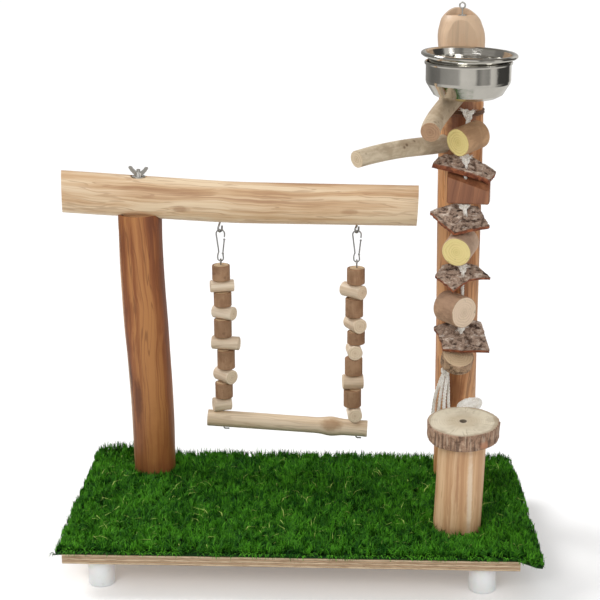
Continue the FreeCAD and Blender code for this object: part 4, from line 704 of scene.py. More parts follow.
def carried_axes(tangent):
    """Two directions across a path that turn with it as little as they can."""
    across = np.zeros_like(tangent)
    start = np.cross(tangent[0], [0.31, 0.88, 0.36])
    across[0] = start / np.linalg.norm(start)
    for i in range(1, len(tangent)):
        side = across[i - 1] - tangent[i] * np.dot(across[i - 1], tangent[i])
        across[i] = side / (np.linalg.norm(side) + 1e-12)
    return across, np.cross(tangent, across)


def even(path, gap):
    """The same path with points a steady gap apart."""
    path = np.asarray(path, dtype=float)
    run = np.concatenate([[0], np.cumsum(np.linalg.norm(np.diff(path, axis=0), axis=1))])
    steps = np.linspace(0, run[-1], max(3, int(run[-1] / gap) + 1))
    return np.stack([np.interp(steps, run, path[:, k]) for k in range(3)], axis=1)


def smooth_line(name, route):
    """Points of the smooth line of a rope whose route is given in millimetres."""
    curve = bpy.data.curves.new(name, "CURVE")
    curve.dimensions = "3D"
    curve.resolution_u = 16
    spline = curve.splines.new("NURBS")
    spline.points.add(len(route) - 1)
    for point, place in zip(spline.points, route):
        point.co = (*place, 1.0)
    spline.order_u = 3
    spline.use_endpoint_u = True
    guide = bpy.data.objects.new(name, curve)
    mesh = bpy.data.meshes.new_from_object(guide)
    line = np.array([corner.co[:] for corner in mesh.vertices])
    bpy.data.objects.remove(guide)
    bpy.data.curves.remove(curve)
    bpy.data.meshes.remove(mesh)
    return line


ROPE_YARNS, YARN_SHARE, YARN_SWELL, YARN_SIDES = 3, 0.465, 1.08, 7


def lay_rope(form, line, diameter, pitch=2.6, gap=0.8, seed=0.0):
    """Yarns twisted round each other along a line; the pitch is in diameters."""
    path = even(line, gap)
    tangent = np.gradient(path, axis=0)
    tangent /= np.linalg.norm(tangent, axis=1)[:, None]
    across, aside = carried_axes(tangent)
    run = np.concatenate([[0], np.cumsum(np.linalg.norm(np.diff(path, axis=0), axis=1))])
    yarn_radius = diameter * YARN_SHARE / 2 * YARN_SWELL
    reach = diameter / 2 - yarn_radius
    for k in range(ROPE_YARNS):
        turn = seed + 2 * np.pi * (run / (pitch * diameter) + k / ROPE_YARNS)
        offset = across * np.cos(turn)[:, None] + aside * np.sin(turn)[:, None]
        wobble = 1 + 0.06 * np.sin(run * 2.1 + k * 2.0 + seed)
        form.tube(path + offset * (reach * wobble)[:, None], yarn_radius * wobble, YARN_SIDES)


# ---- chew toy: rope, knots and loose strands ----

TOY_LINE = Vector((209.5, 60.0, 0.0))
TOP_KNOT = Vector((212.3, 75.226, 545.0))
TAIL_KNOT = Vector((190.5, 58.0, 215.0))
ROPE_DIAMETER = 4.4
ROPE_ROUTE = [
    TOP_KNOT,
    (209.9, 60.4, 533.0),
    (209.85, 60.35, 518.0),
    (209.5, 60.0, 292.0),
    (209.5, 60.0, 253.0),
    TAIL_KNOT,
]
rope_line = smooth_line("toy_rope_route", ROPE_ROUTE)
rope_form = Form()
lay_rope(rope_form, rope_line, ROPE_DIAMETER)
toy_rope = rope_form.piece("toy_rope_strands", cotton)

# One row per knot: place, turn about the vertical, lean, size, and the rope ends that stand out.
KNOTS = [
    (TOP_KNOT, 10, 12, 1.15, [(-8, -2, 6), (6, -3, 5), (1, -3, -11)]),
    ((209.5, 60.0, 492.5), 40, -14, 1.0, [(7, -3, 3), (-6, -4, 2), (1, -5, -10)]),
    ((209.5, 60.0, 431.2), -20, 10, 1.0, [(-6, -4, 4), (5, -4, 3), (2, -6, -9)]),
    ((209.5, 60.0, 352.5), 15, -6, 0.95, [(-6, -3, 3), (6, -3, 3), (0, -6, -7)]),
    ((209.5, 60.0, 274.7), 50, 8, 0.9, [(5, -4, 2), (-4, -5, -3)]),
    (TAIL_KNOT, 0, 0, 1.0, []),
]
knot_form = Form()
for number, (centre, turn, lean, size, ends) in enumerate(KNOTS):
    centre = np.array(centre)
    facing = Matrix.Rotation(math.radians(turn), 3, "Z") @ Matrix.Rotation(math.radians(90 + lean), 3, "X")
    facing = np.array(facing)
    steps = np.linspace(0, 2 * np.pi, 60)
    loop = np.stack([
        np.sin(steps) + 2 * np.sin(2 * steps),
        np.cos(steps) - 2 * np.cos(2 * steps),
        -1.5 * np.sin(3 * steps),
    ], axis=1) * (1.7 * size)
    lay_rope(knot_form, centre + loop @ facing.T, 3.9 * size, gap=0.7, seed=number * 1.3)
    for k, tip in enumerate(ends):
        tip = np.array(tip, dtype=float) * size * 0.74
        start = centre + tip * 0.25
        bow = centre + tip * 0.7 + np.array([0.4, -1.2, 0.6])
        stub = np.array([start, (start + bow) / 2, bow, centre + tip * 1.15])
        lay_rope(knot_form, even(stub, 0.5), 3.6 * size, gap=0.6, seed=k * 2.0 + number)
        rng = np.random.RandomState(40 + number * 7 + k)
        for _ in range(14):
            flare = tip / np.linalg.norm(tip) + rng.normal(0, 0.38, 3)
            root = centre + tip * 1.1 + rng.normal(0, 0.7, 3)
            hair = np.array([root, root + flare * 1.6, root + flare * 3.0 + rng.normal(0, 0.5, 3)])
            knot_form.tube(hair, [0.28, 0.22, 0.1], 4)
toy_knots = knot_form.piece("toy_knot_loops", cotton)

STRAND_DIAMETER = 4.6
STRANDS = [
    [(-2.4, -2.4, -3), (-5, -3, -22), (-8, -2, -46), (-9, -1, -72)],
    [(2.4, -2.4, -3), (-1, -7, -22), (-2, -8, -46), (-1, -6, -74)],
    [(-2.4, 2.4, -2), (-9, 3, -20), (-15, 4, -44), (-16, 6, -70)],
    [(2.4, 2.4, -2), (4, 1, -24), (4, -1, -50), (10, -4, -70), (21, -7, -72), (30, -8, -58), (32, -8, -44)],
]
strands = []
for number, offsets in enumerate(STRANDS, 1):
    line = smooth_line(f"strand_route_{number}", [TAIL_KNOT + Vector(offset) for offset in offsets])
    form = Form()
    lay_rope(form, line, STRAND_DIAMETER, pitch=2.9, seed=number * 1.7)
    strand = form.piece(f"toy_strand_{number}", cotton)
    strands.append((strand, line))

FRAY_HALF = np.array([16.5, 8.0, 9.5])
FRAY_TILT = 3.5
FRAY_FIBRES, FIBRE_RADIUS = 620, 0.3


def brushed_end():
    """The brushed-out end of the longest strand: a soft core under a fan of fibres."""
    form = Form()
    rng = np.random.RandomState(11)
    root = np.array(TAIL_KNOT) + np.array([20.0, -8.0, -47.0])
    middle = np.array(TAIL_KNOT) + np.array([31.0, -8.0, -43.0])
    rings, spokes = 18, 24
    core = []
    for i in range(rings + 1):
        along = i / rings
        bend = math.pi * (0.03 + 0.94 * along)
        width = math.sin(bend) ** 0.85
        for j in range(spokes):
            turn = 2 * math.pi * j / spokes
            lump = 1 + 0.07 * math.sin(turn * 5 + along * 9) + 0.05 * math.sin(turn * 11 + along * 4)
            core.append((
                middle[0] - FRAY_HALF[0] * math.cos(bend),
                middle[1] + FRAY_HALF[1] * width * lump * math.cos(turn),
                middle[2] - FRAY_TILT * math.cos(bend) + FRAY_HALF[2] * width * lump * math.sin(turn),
            ))
    form.add(core, closed_wall(rings + 1, spokes))
    for _ in range(FRAY_FIBRES):
        turn = rng.uniform(0, 2 * np.pi)
        stops = []
        for share in (rng.uniform(-0.5, 0.3), rng.uniform(0.72, 1.0)):
            swell = math.sqrt(max(0.0, 1.0 - share * share)) * rng.uniform(0.9, 1.12)
            stops.append(middle + FRAY_HALF * np.array([share, swell * np.cos(turn), swell * np.sin(turn)])
                         + np.array([0.0, 0.0, FRAY_TILT * share]))
            turn += rng.normal(0, 0.25)
        start = root + rng.normal(0, 0.8, 3)
        hair = np.array([start, (root + stops[0]) / 2 + rng.normal(0, 0.5, 3), *stops])
        form.tube(even(hair, 4.0), FIBRE_RADIUS, 4)
    return form.piece("toy_fray_fibres", cotton)


toy_fray = brushed_end()

for piece, node in ((toy_rope, "toy_rope"), (toy_knots, "toy_knots"), (toy_fray, "toy_tassel")):
    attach(piece, "toy")
    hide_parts(node)
for strand, _ in strands:
    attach(strand, "toy")
    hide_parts("toy_tassel")


# ---- chew toy: small logs, bark plates and block ----

# number: level above the board, shift across and back, width, turn and tip, is its bark smooth,
# pale and warm tones of the bark, tones of the sawn end, its rings and its rim
TOY_LOGS = {
    1: (471, 2.5, -5, 35, 49, -7, True, (182, 144, 106), (156, 120, 86),
        (234, 214, 142), (208, 184, 108), (166, 134, 84)),
    2: (333.5, -4, -4, 37.5, 72, -8, True, (204, 174, 148), (172, 142, 118),
        (238, 218, 150), (216, 194, 122), (200, 174, 108)),
    3: (252, -9.3, -5.6, 40, 126, 0, True, (190, 154, 124), (156, 122, 96),
        (224, 200, 174), (196, 170, 142), (176, 148, 118)),
    4: (184, -5, -4, 41, 106, 62, False, (214, 184, 154), (176, 144, 114),
        (212, 186, 150), (184, 154, 118), (132, 102, 78)),
}
LOG_DARK = (96, 74, 56)
for number, row in TOY_LOGS.items():
    level, shift, back, width, turn, tip, smooth, pale, warm, *end_tones = row
    middle = placed(TOY_LINE.x + shift, TOY_LINE.y + back, BOARD_TOP + level)
    side = (smooth_bark(number * 2.3, pale, warm, LOG_DARK, specks=0.3) if smooth
            else rough_bark(number * 2.3, pale, warm, LOG_DARK))
    dress(f"toy_log_{number}", round_wood(
        f"toy log {number}", middle, heading(turn, tip), side,
        sawn(width * MM / 2, *end_tones, 0.001), depth=0.0009))

block_side = peeled(6.1, (166, 112, 76), (142, 90, 58), (108, 62, 38), streaks=0.7, knots=0.0, wave=0.02)
dress("toy_block", round_wood(
    "toy block wood", placed(214, 60, 460), Vector((0.2, 0, 1)), block_side, gloss=0.25, depth=0.0006))


def bark_finish():
    """Bark plate: weathered outside with painted shade in its crevices and a painted highlight on its ridges,
    red-brown inner side and torn edges.
    """
    material, net, surface, place = new_finish("bark plate")
    outside = net.field("outside")
    height = net.field("relief")
    skin = net.use(ROUGH_BARK, Place=place["Object"], Seed=1.0, Pale=tone(218, 202, 186),
                   Warm=tone(160, 136, 118), Dark=tone(84, 62, 48))
    # painted shade in the crevices of the plate's relief, then a painted highlight on its ridges
    skin_with_painted_shade_and_highlight = net.mix(net.step(height, 0.26, 0.02), skin["Color"], tone(62, 44, 34))
    skin_with_painted_shade_and_highlight = net.mix(net.step(height, 0.56, 0.85, 0.0, 0.65), skin_with_painted_shade_and_highlight, tone(220, 206, 192))
    flesh = net.noise(place["Object"], 160.0, 5.0, 0.6)
    torn = net.mix(net.step(flesh, 0.35, 0.65), tone(104, 50, 28), tone(158, 92, 56))
    color = net.mix(net.step(outside, 0.35, 0.75), torn, skin_with_painted_shade_and_highlight)
    cover(net, surface, color, skin["Roughness"], skin["Height"], 0.0012)
    return material


bark_skin = bark_finish()

# number: level above the board, thickness, radius of its bow, slope, roll, outline
BARK_PLATES = {
    1: (437, 9, 150, 30, 14,
        [(-40, -6), (-35, 5.5), (-27, 13), (3, 18), (20, 14), (41, 8), (34, -12), (-3, -12)]),
    2: (375.5, 7, 300, 35, 0,
        [(-43, 6), (-32, 10), (-11, 17), (18, 12), (31, -19), (-13, -32), (-29, -15)]),
    3: (297, 6, 90, 35, 3,
        [(-35, 0), (-26, 16), (-3, 19), (17, 17), (37, 3), (10, -7), (-12, -28), (-23, -14)]),
    4: (219, 7, 160, 40, 0,
        [(-36, 11), (-14, 18), (12, 20), (26, 18), (36, -24), (1, -27), (-24, -24), (-28, -5)]),
}


def crossings(outline, v):
    """Where a line across the plate at v enters and leaves its outline."""
    cuts = []
    for (u0, v0), (u1, v1) in zip(outline, outline[1:] + outline[:1]):
        if (v0 <= v) != (v1 <= v):
            cuts.append(u0 + (u1 - u0) * (v - v0) / (v1 - v0))
    return sorted(cuts)


def bark_piece(number):
    """One plate: a bowed slab with a ragged outline and a craggy outside."""
    level, thickness, bow, slope, roll, outline = BARK_PLATES[number]
    turned = Matrix.Rotation(math.radians(roll), 3, "Y") @ Matrix.Rotation(math.radians(slope), 3, "X")
    low, high = min(v for _, v in outline), max(v for _, v in outline)
    rows, columns = 46, 74
    upper, lower, outside, heights = [], [], [], []
    for i in range(rows):
        share = (i + 0.02) / (rows - 0.96)
        v = low + (high - low) * share
        cuts = crossings(outline, min(max(v, low + 0.01), high - 0.01))
        left, right = cuts[0], cuts[-1]
        left += 1.3 * (noise.noise(Vector((v * 0.35, number * 9.1, 0.0))) + 0.3)
        right -= 1.3 * (noise.noise(Vector((v * 0.35, number * 4.7, 5.0))) + 0.3)
        for j in range(columns):
            u = left + (right - left) * j / (columns - 1)
            w = v + 1.1 * noise.noise(Vector((u * 0.3, number * 3.0, 7.0)))
            key = Vector((u * 0.085 + number * 11, w * 0.15, number * 1.0))
            crag = noise.fractal(key, 0.9, 2.1, 5)
            ridge = abs(noise.noise(Vector((u * 0.11, w * 0.30, number * 5.0))))
            crag = 0.5 + 0.55 * crag - 0.55 * (0.35 - min(ridge, 0.35))
            edge = min(j, columns - 1 - j) / 6
            rim = min(1.0, edge, min(i, rows - 1 - i) / 4)
            hollow = max(0.0, 1 - (u * u + w * w) / 90.0)
            surface = math.sqrt(bow * bow - u * u) - bow
            rise = (crag - 0.62) * 4.6 * (0.35 + 0.65 * rim) * (1 - hollow)
            rise = min(rise, 1.3)
            under = -thickness + 0.5 * noise.noise(Vector((u * 0.2, w * 0.2, 3.0))) + (1 - rim) * 1.2
            upper.append((u, w, surface + rise))
            lower.append((u, w, surface + under))
            outside.append(1.0 if rim > 0.0 else 0.55)
            heights.append(crag)
    form = Form()
    centre = TOY_LINE + UP * (BOARD_TOP + level)
    points = [turned @ Vector(p) + centre for p in upper + lower]
    form.add([tuple(p) for p in points], sheet(rows, columns))
    piece = form.piece(
        f"bark_plate_{number}", bark_skin,
        fields={"outside": outside + [0.0] * len(lower), "relief": heights + [0.3] * len(lower)})
    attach(piece, "toy")
    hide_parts(f"toy_bark_{number}")


for number in BARK_PLATES:
    bark_piece(number)

# ---- wood-slice step ----


SLICE_RADIUS, SLICE_TILT, SLICE_HEIGHT = 43.0, 5, 21.0


def slice_finish():
    """Sawn face with rings, a dark heart and painted shade in its screw hole, and a furrowed bark rim with
    painted shade in its grooves, a painted highlight on its ridges and one orange scar.
    """
    material, net, surface, place = new_finish("slice wood")
    aside, along = Vector((0, 0.99619, 0.08716)), Vector((0, -0.08716, 0.99619))
    local = net.use(LOG_FRAME, Point=place["Object"], Middle=placed(207.7, -62, 182),
                    Across=Vector((1, 0, 0)), Aside=aside, Along=along)
    side = net.field("rim")
    groove = net.field("relief")
    sway = net.noise(local["Place"], 32.0, 3.0)
    radius = net.plus(local["Radius"], net.times(net.minus(sway, 0.5), 0.012))
    rings = net.step(net.calc("SINE", net.times(radius, 2100.0)), -0.4, 1.0)
    heart = net.step(radius, 0.030, 0.010)
    patch = net.noise(local["Place"], 55.0, 5.0, 0.6)
    face = net.mix(net.times(rings, 0.30), tone(208, 198, 176), tone(168, 150, 122))
    face = net.mix(net.times(heart, 0.5), face, tone(164, 144, 114))
    face = net.mix(net.step(patch, 0.48, 0.66, 0.0, 0.6), face, tone(174, 162, 140))
    x, y, z = net.apart(local["Place"])
    turn = net.calc("ARCTAN2", x, y)
    spoke = net.together(net.times(turn, 4.0), net.times(radius, 16.0), 2.0)
    crack = net.noise(spoke, 3.0, 3.0)
    crack = net.times(net.step(crack, 0.60, 0.66), net.step(radius, 0.006, 0.014))
    face = net.mix(net.times(crack, 0.45), face, tone(120, 98, 72))
    face = net.mix(net.step(radius, 0.0365, 0.0415, 0.0, 0.6), face, tone(138, 116, 90))
    # painted shade in and round the screw hole
    face = net.mix(net.step(local["Radius"], 0.0052, 0.0040, 0.0, 0.85), face, tone(70, 56, 44))
    skin = net.use(ROUGH_BARK, Place=local["Place"], Seed=4.0, Pale=tone(194, 166, 140),
                   Warm=tone(158, 126, 102), Dark=tone(108, 80, 62))
    # painted shade in the bark's grooves and a painted highlight on its ridges, both following the rim's
    # relief
    bark = net.mix(net.step(groove, 0.45, 0.1, 0.0, 0.75), skin["Color"], tone(96, 74, 60))
    bark = net.mix(net.step(groove, 0.6, 1.0, 0.0, 0.45), bark, tone(202, 184, 164))
    scar = net.vector("LENGTH", net.vector("SUBTRACT", local["Place"], Vector((0.024, -0.036, -0.004))))
    scar = net.raised(scar, patch, 0.014)
    bark = net.mix(net.step(scar, 0.0150, 0.0095, 0.0, 0.85), bark, tone(184, 130, 98))
    color = net.mix(net.step(side, 0.4, 0.6), face, bark)
    cover(net, surface, color, net.raised(0.68, patch, 0.2), net.raised(patch, rings, 0.2), 0.0006)
    return material


def slice_radius(turn):
    """Radius of the slice, which isn't quite round."""
    return SLICE_RADIUS * (1 + 0.018 * math.cos(2 * turn - 0.6) + 0.012 * math.sin(3 * turn + 1.0)
                   + 0.008 * math.sin(7 * turn))


def wood_slice():
    """Thick slice of a branch: ragged bark round it, a screw hole in the middle."""
    spokes = 300
    tilt = Matrix.Rotation(math.radians(SLICE_TILT), 3, "X")
    foot = Vector((207.7, -62.0, 172.0))
    # rows of (kind, share of the radius or plain radius, height, is it bark)
    rows = [("plain", 3.9, 14.0, 0), ("plain", 3.9, 20.7, 0), ("plain", 4.4, SLICE_HEIGHT, 0)]
    rows += [("part", share, SLICE_HEIGHT, 0) for share in (0.2, 0.35, 0.5, 0.65, 0.8, 0.9, 0.955)]
    rows += [("part", 0.985, 20.9, 1), ("bark", 1.0, 20.1, 1)]
    rows += [("bark", 1.0, z, 1) for z in (18.5, 16.5, 14, 11.5, 9, 6.5, 4, 2, 0.8)]
    rows += [("part", 0.97, 0.0, 1), ("part", 0.6, 0.0, 0), ("plain", 5.0, 0.0, 0)]
    points, rim, heights = [], [], []
    for kind, size, height, is_bark in rows:
        for j in range(spokes):
            turn = 2 * math.pi * j / spokes
            groove = 0.5
            if kind == "plain":
                radius = size
            else:
                radius = slice_radius(turn) * size
                if is_bark:
                    around = Vector((math.cos(turn) * 19, math.sin(turn) * 19, height * 0.045))
                    groove = 0.5 + 0.85 * noise.noise(around) + 0.35 * noise.noise(around * 2.3)
                    radius += (groove - 0.5) * (1.5 if kind == "bark" else 0.8)
            lift = 0.0
            if kind == "part" and height > 10:
                around = Vector((math.cos(turn) * 2.0 * size, math.sin(turn) * 2.0 * size, 3.0))
                lift = 0.35 * noise.noise(around)
            corner = Vector((radius * math.cos(turn), radius * math.sin(turn), height + lift))
            points.append(tilt @ corner + foot)
            rim.append(float(is_bark))
            heights.append(groove)
    faces = [tuple(range(spokes))]
    faces += [(b, a, d, c) for a, b, c, d in wall(len(rows), spokes)]
    faces.append(tuple((len(rows) - 1) * spokes + j for j in range(spokes - 1, -1, -1)))
    form = Form()
    form.add([tuple(p) for p in points], faces)
    piece = form.piece("slice_step", slice_finish(), fields={"rim": rim, "relief": heights})
    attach(piece, "stand")
    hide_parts("wood_slice")


wood_slice()

# ---- grass mat ----

MAT_LEFT, MAT_RIGHT, MAT_FRONT, MAT_REAR = -287.0, 287.0, -152.0, 162.0
MAT_SKEW, MAT_CORNER = 19.0, 9.0
BACKING_UNDER, BACKING_TOP, BACKING_INSET = 48.2, 50.4, 2.5
BLADE_ROOT, TUFT = 50.2, 8
# where the posts stand through the mat, and their radius
POSTS = [(-197.0, 110.0, 28.5), (206.0, 110.0, 27.2), (203.5, -62.0, 30.0)]


def mat_right(y):
    """The mat's right edge, which runs out towards the front."""
    return MAT_RIGHT + MAT_SKEW * (MAT_REAR - y) / (MAT_REAR - MAT_FRONT)


def mat_inset(y):
    """How far the rounded corners draw the sides of the mat in."""
    gap = np.minimum(np.minimum(y - MAT_FRONT, MAT_REAR - y), MAT_CORNER)
    return MAT_CORNER - np.sqrt(np.maximum(0.0, MAT_CORNER ** 2 - (MAT_CORNER - gap) ** 2))


def mat_level(x, y):
    """How far the mat lies above or below its flat height, which it does where nothing holds it."""
    curl = 12.0 * np.exp(-((x + 244) / 40) ** 2) * np.clip((y - 118) / 44, 0, 1) ** 1.5
    curl += 2.0 * np.exp(-((x + 284) / 16) ** 2) * np.clip((y - 60) / 100, 0, 1)
    curl += 2.0 * np.clip((y - 136) / 20, 0, 1)
    out = np.clip(x - 272, 0, 60)
    droop = 0.36 * out * np.clip((60 - y) / 200, 0.05, 1)
    sag = 0.30 * np.clip(-272 - x, 0, 30)
    return curl - droop - sag


def grass_finish(name, root, deep, bright, straw):
    """Cut plastic grass: painted shade at the root, brighter towards the tip, each blade a little different.
    """
    material, net, surface, place = new_finish(name)
    tip = net.field("tip")
    own = net.field("own")
    patch = net.noise(place["Object"], 28.0, 3.0)
    share = net.plus(net.times(own, 0.85), net.times(net.step(patch, 0.3, 0.7), 0.25))
    blade = net.mix(net.step(share, 0.2, 0.95), deep, bright)
    blade = net.mix(net.step(own, 0.955, 0.985, 0.0, 0.8), blade, straw)
    # the root tone is painted shade among the blades' roots, fading out halfway up each blade
    color = net.mix(net.step(tip, 0.0, 0.5), root, blade)
    surface.inputs["Specular IOR Level"].default_value = 0.18
    cover(net, surface, color, net.raised(0.55, own, 0.2), net.noise(place["Object"], 1200.0, 2.0), 0.0001)
    return material


def in_post(x, y, room):
    """Which points lie in a post or less than some room from it."""
    hit = np.zeros(len(x), dtype=bool)
    for px, py, radius in POSTS:
        hit |= (x - px) ** 2 + (y - py) ** 2 < (radius + room) ** 2
    return hit


def mat_backing():
    """Rubber backing and dense lower pile as one thin sheet under the blades."""
    rows, columns = 84, 150
    x_share, y_share = np.meshgrid(np.linspace(0, 1, columns), np.linspace(0, 1, rows))
    y = MAT_FRONT + BACKING_INSET + (MAT_REAR - MAT_FRONT - 2 * BACKING_INSET) * y_share
    inset = BACKING_INSET + mat_inset(y - BACKING_INSET * (1 - 2 * y_share))
    x = MAT_LEFT + inset + (mat_right(y) - MAT_LEFT - 2 * inset) * x_share
    wave = mat_level(x, y)
    top = np.stack([x, y, BACKING_TOP + wave], axis=-1).reshape(-1, 3)
    base = np.stack([x, y, BACKING_UNDER + wave], axis=-1).reshape(-1, 3)
    form = Form()
    form.add(np.concatenate([top, base]), sheet(rows, columns))
    # the backing's dark greens are partly its own colour and partly painted shade of the dense lower pile
    finish = grass_finish(
        "mat backing", tone(12, 44, 8), tone(14, 56, 10), tone(24, 78, 14), tone(40, 90, 20))
    return form.piece("mat_backing", finish, fields={
        "tip": np.full(form.count, 0.4), "own": np.full(form.count, 0.2)})


def blades(name, count, seed, low_x, high_x, finish):
    """Tufts of separate bent blades over one part of the mat."""
    rng = np.random.RandomState(seed)
    tufts = count // TUFT
    mid_y = rng.uniform(MAT_FRONT + 0.5, MAT_REAR - 0.5, tufts)
    mid_x = rng.uniform(low_x, high_x, tufts)
    main = rng.uniform(0, 2 * np.pi, tufts)
    main += np.array([3.0 * noise.noise(Vector((a * 0.02, b * 0.02, 4.0))) for a, b in zip(mid_x, mid_y)])
    press = rng.uniform(0.25, 1.0, tufts)
    shade = rng.uniform(0, 1, tufts)
    x = np.repeat(mid_x, TUFT) + rng.normal(0, 1.5, tufts * TUFT)
    y = np.repeat(mid_y, TUFT) + rng.normal(0, 1.5, tufts * TUFT)
    lay = np.repeat(main, TUFT) + rng.normal(0, 0.75, tufts * TUFT)
    lean = np.repeat(press, TUFT) + rng.normal(0, 0.18, tufts * TUFT)
    own = np.repeat(shade, TUFT) * 0.6 + rng.uniform(0, 0.4, tufts * TUFT)
    inset = mat_inset(np.clip(y, MAT_FRONT, MAT_REAR))
    keep = (x < mat_right(y) - inset) & (x > MAT_LEFT + inset) & (y > MAT_FRONT) & (y < MAT_REAR)
    keep &= ~in_post(x, y, 0.8)
    x, y, lay, lean, own = x[keep], y[keep], lay[keep], lean[keep], own[keep]
    n = len(x)
    length = rng.normal(12.0, 2.0, n).clip(7.5, 16.0)
    width = rng.uniform(1.0, 1.8, n)
    room = np.stack([x - MAT_LEFT, mat_right(y) - x, y - MAT_FRONT, MAT_REAR - y])
    nearest = room.argmin(axis=0)
    gap = room.min(axis=0)
    # along the front they hang over a little, along the other edges they lean inwards
    turned = np.array([0.0, np.pi, -np.pi / 2, -np.pi / 2])[nearest] + rng.normal(0, 0.8, n)
    edge = gap < np.where(nearest == 2, 4.0, 7.0)
    lay = np.where(edge, turned, lay)
    hang = np.where(nearest == 2, 1.35, 0.35) + rng.normal(0, 0.2, n)
    lean = np.where(edge, hang, lean)
    length = np.where(edge & (nearest < 2), length * 0.7, length)
    stray = (rng.uniform(0, 1, n) < 0.005) & (gap > 18.0)
    length[stray] *= rng.uniform(1.3, 2.0, stray.sum())
    lean[stray] = rng.uniform(0.8, 1.2, stray.sum())
    own = np.where(stray, 0.99, own * 0.97)
    way = np.stack([np.cos(lay), np.sin(lay), np.zeros(n)], axis=1)
    side = np.stack([-np.sin(lay), np.cos(lay), np.zeros(n)], axis=1)
    spin = rng.uniform(-1.0, 1.0, n)
    side = side * np.cos(spin)[:, None] + way * np.sin(spin)[:, None]
    rise = np.array([0.0, 0.0, 1.0])

    def half_blade(bend):
        """Half of each blade's length, bent over by a share of its lean."""
        way_out = way * np.sin(lean * bend)[:, None] + rise * np.cos(lean * bend)[:, None]
        return way_out * (length * 0.5)[:, None]

    root = np.stack([x, y, BLADE_ROOT + mat_level(x, y)], axis=1)
    middle = root + half_blade(0.6)
    tip = middle + half_blade(1.5)
    half = side * (width / 2)[:, None]
    corners = np.stack([root - half, root + half, middle + half * 0.8, middle - half * 0.8, tip], axis=1)
    faces = []
    for i in range(n):
        a = i * 5
        faces += [(a, a + 1, a + 2, a + 3), (a + 3, a + 2, a + 4)]
    form = Form()
    form.add(corners.reshape(-1, 3), faces)
    return form.piece(name, finish, fields={
        "tip": np.tile([0.0, 0.0, 0.55, 0.55, 1.0], n), "own": np.repeat(own, 5)})


backing = mat_backing()
# the first tone, near black, is the painted shade at the blades' roots
grass = grass_finish("grass blades", tone(2, 17, 2), tone(9, 72, 6), tone(92, 168, 36), tone(176, 196, 104))
per_piece = 44000
left_blades = blades("grass_left", per_piece, 5, MAT_LEFT - 0.5, 10.0, grass)
right_blades = blades("grass_right", per_piece, 6, 10.0, MAT_RIGHT + MAT_SKEW, grass)
for piece in (backing, left_blades, right_blades):
    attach(piece, "stand")
    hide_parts("grass_mat")

# ---- room: floor, what bright metal mirrors, lamps and world ----

# share of the way round the room and how bright it is there
BANDS = [(0.0, 0.40), (0.17, 0.18), (0.26, 0.22), (0.275, 0.34), (0.42, 0.46), (0.44, 0.80), (0.545, 0.74),
         (0.560, 0.18), (0.60, 0.42), (0.655, 0.30), (0.668, 0.80), (0.715, 0.64), (0.73, 0.07), (0.88, 0.06),
         (0.905, 0.85), (1.0, 0.40)]


# the point of the floor below the bowl
BOWL_FOOT = (0.2109, 0.023, 0.0)


def room_bands(net, spot):
    """Windows and dark corners of a room, by a spot's bearing: what bright metal mirrors."""
    x, y, z = net.apart(spot)
    bearing = net.calc("ARCTAN2", x, net.times(y, -1.0))
    share = net.plus(net.calc("DIVIDE", bearing, 2 * math.pi), 0.5)
    ramp = net.put("ShaderNodeValToRGB", {"Fac": share})
    stops = ramp.color_ramp.elements
    while len(stops) > 1:
        stops.remove(stops[-1])
    for number, (position, level) in enumerate(BANDS):
        stop = stops[0] if number == 0 else stops.new(position)
        stop.position = position
        stop.color = (level, level * 0.97, level * 0.92, 1)
    return ramp.outputs["Color"]


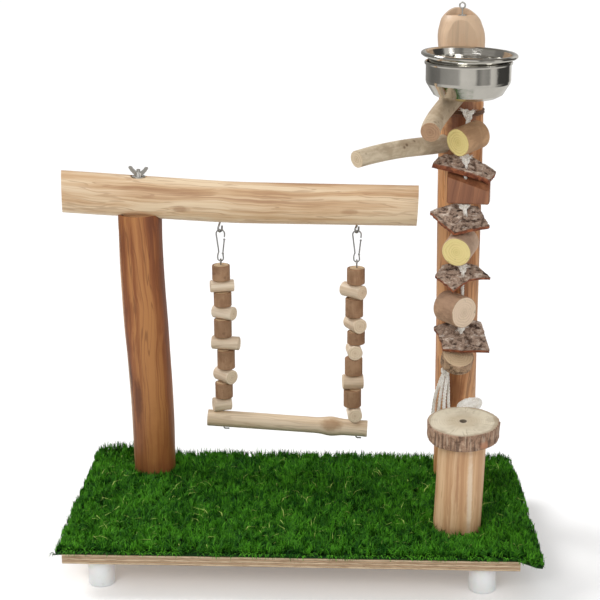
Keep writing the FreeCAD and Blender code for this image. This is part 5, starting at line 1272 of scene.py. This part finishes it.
def stage_floor():
    """Pale floor. The camera alone sees it a little brighter, so that it runs out to white."""
    mesh = bpy.data.meshes.new("room_floor")
    mesh.from_pydata([(-8, -6, 0), (8, -6, 0), (8, 14, 0), (-8, 14, 0)], [], [(0, 1, 2, 3)])
    thing = add_object("room_floor", mesh)
    material = bpy.data.materials.new("room_floor")
    material.use_nodes = True
    material.node_tree.nodes.clear()
    net = Net(material.node_tree)
    matte = net.put("ShaderNodeBsdfDiffuse", {"Color": (0.8, 0.8, 0.8, 1)})
    path = net.put("ShaderNodeLightPath").outputs
    strength = net.times(path["Is Camera Ray"], 0.20)
    glow = net.put("ShaderNodeEmission", {"Color": (1, 1, 1, 1), "Strength": strength})
    both = net.put("ShaderNodeAddShader", {0: matte.outputs[0], 1: glow.outputs[0]})
    spot = net.vector("SUBTRACT", net.put("ShaderNodeTexCoord").outputs["Object"], BOWL_FOOT)
    near = net.step(net.vector("LENGTH", spot), 1.5, 1.0)
    seen = net.mix(near, room_bands(net, spot), (0.76, 0.74, 0.70, 1))
    mirrored = net.put("ShaderNodeEmission", {"Color": seen, "Strength": 1.0})
    final = net.put("ShaderNodeMixShader",
                    {0: path["Is Glossy Ray"], 1: both.outputs[0], 2: mirrored.outputs[0]})
    net.put("ShaderNodeOutputMaterial", {"Surface": final.outputs[0]})
    mesh.materials.append(material)


stage_floor()


def lamp(name, kind, place, aim, power, size=None):
    """A soft lamp that looks from a place at a point."""
    light = bpy.data.lights.new(name, kind)
    light.energy = power
    if kind == "AREA":
        light.shape = "RECTANGLE"
        light.size, light.size_y = size
    else:
        light.angle = size
    thing = add_object(name, light)
    thing.location = place
    thing.rotation_euler = (Vector(aim) - Vector(place)).to_track_quat("-Z", "Y").to_euler()


lamp("top_lamp", "SUN", (-1.15, 0.5, 1.3), (0, 0, 0), 1.9, math.radians(26))
lamp("front_lamp", "AREA", (-0.9, -2.5, 1.9), (0, 0, 0.3), 25, (1.2, 1.0))
lamp("side_lamp", "AREA", (1.9, -1.2, 1.2), (0, 0, 0.4), 8, (0.5, 1.2))

world = bpy.data.worlds.new("room")
bpy.context.scene.world = world
world.use_nodes = True
world.node_tree.nodes.clear()
air = Net(world.node_tree)
ray = air.put("ShaderNodeLightPath").outputs
way = air.put("ShaderNodeTexCoord").outputs["Generated"]
az = air.apart(way)["Z"]
overhead = air.step(az, 0.45, 0.75)
mirrored = air.mix(overhead, room_bands(air, way), (0.20, 0.185, 0.165, 1))
sky = air.plus(0.33, air.times(air.calc("MAXIMUM", az, 0.0), 0.44))
soft = air.put("ShaderNodeBackground", {"Color": (1, 1, 1, 1), "Strength": sky})
white = air.put("ShaderNodeBackground", {"Color": (1, 1, 1, 1), "Strength": 1.0})
seen_room = air.put("ShaderNodeBackground", {"Color": mirrored, "Strength": 1.0})
first = air.put("ShaderNodeMixShader",
                {0: ray["Is Glossy Ray"], 1: soft.outputs[0], 2: seen_room.outputs[0]})
final = air.put("ShaderNodeMixShader",
                {0: ray["Is Camera Ray"], 1: first.outputs[0], 2: white.outputs[0]})
air.put("ShaderNodeOutputWorld", {"Surface": final.outputs[0]})

bpy.context.scene.view_settings.view_transform = "Standard"
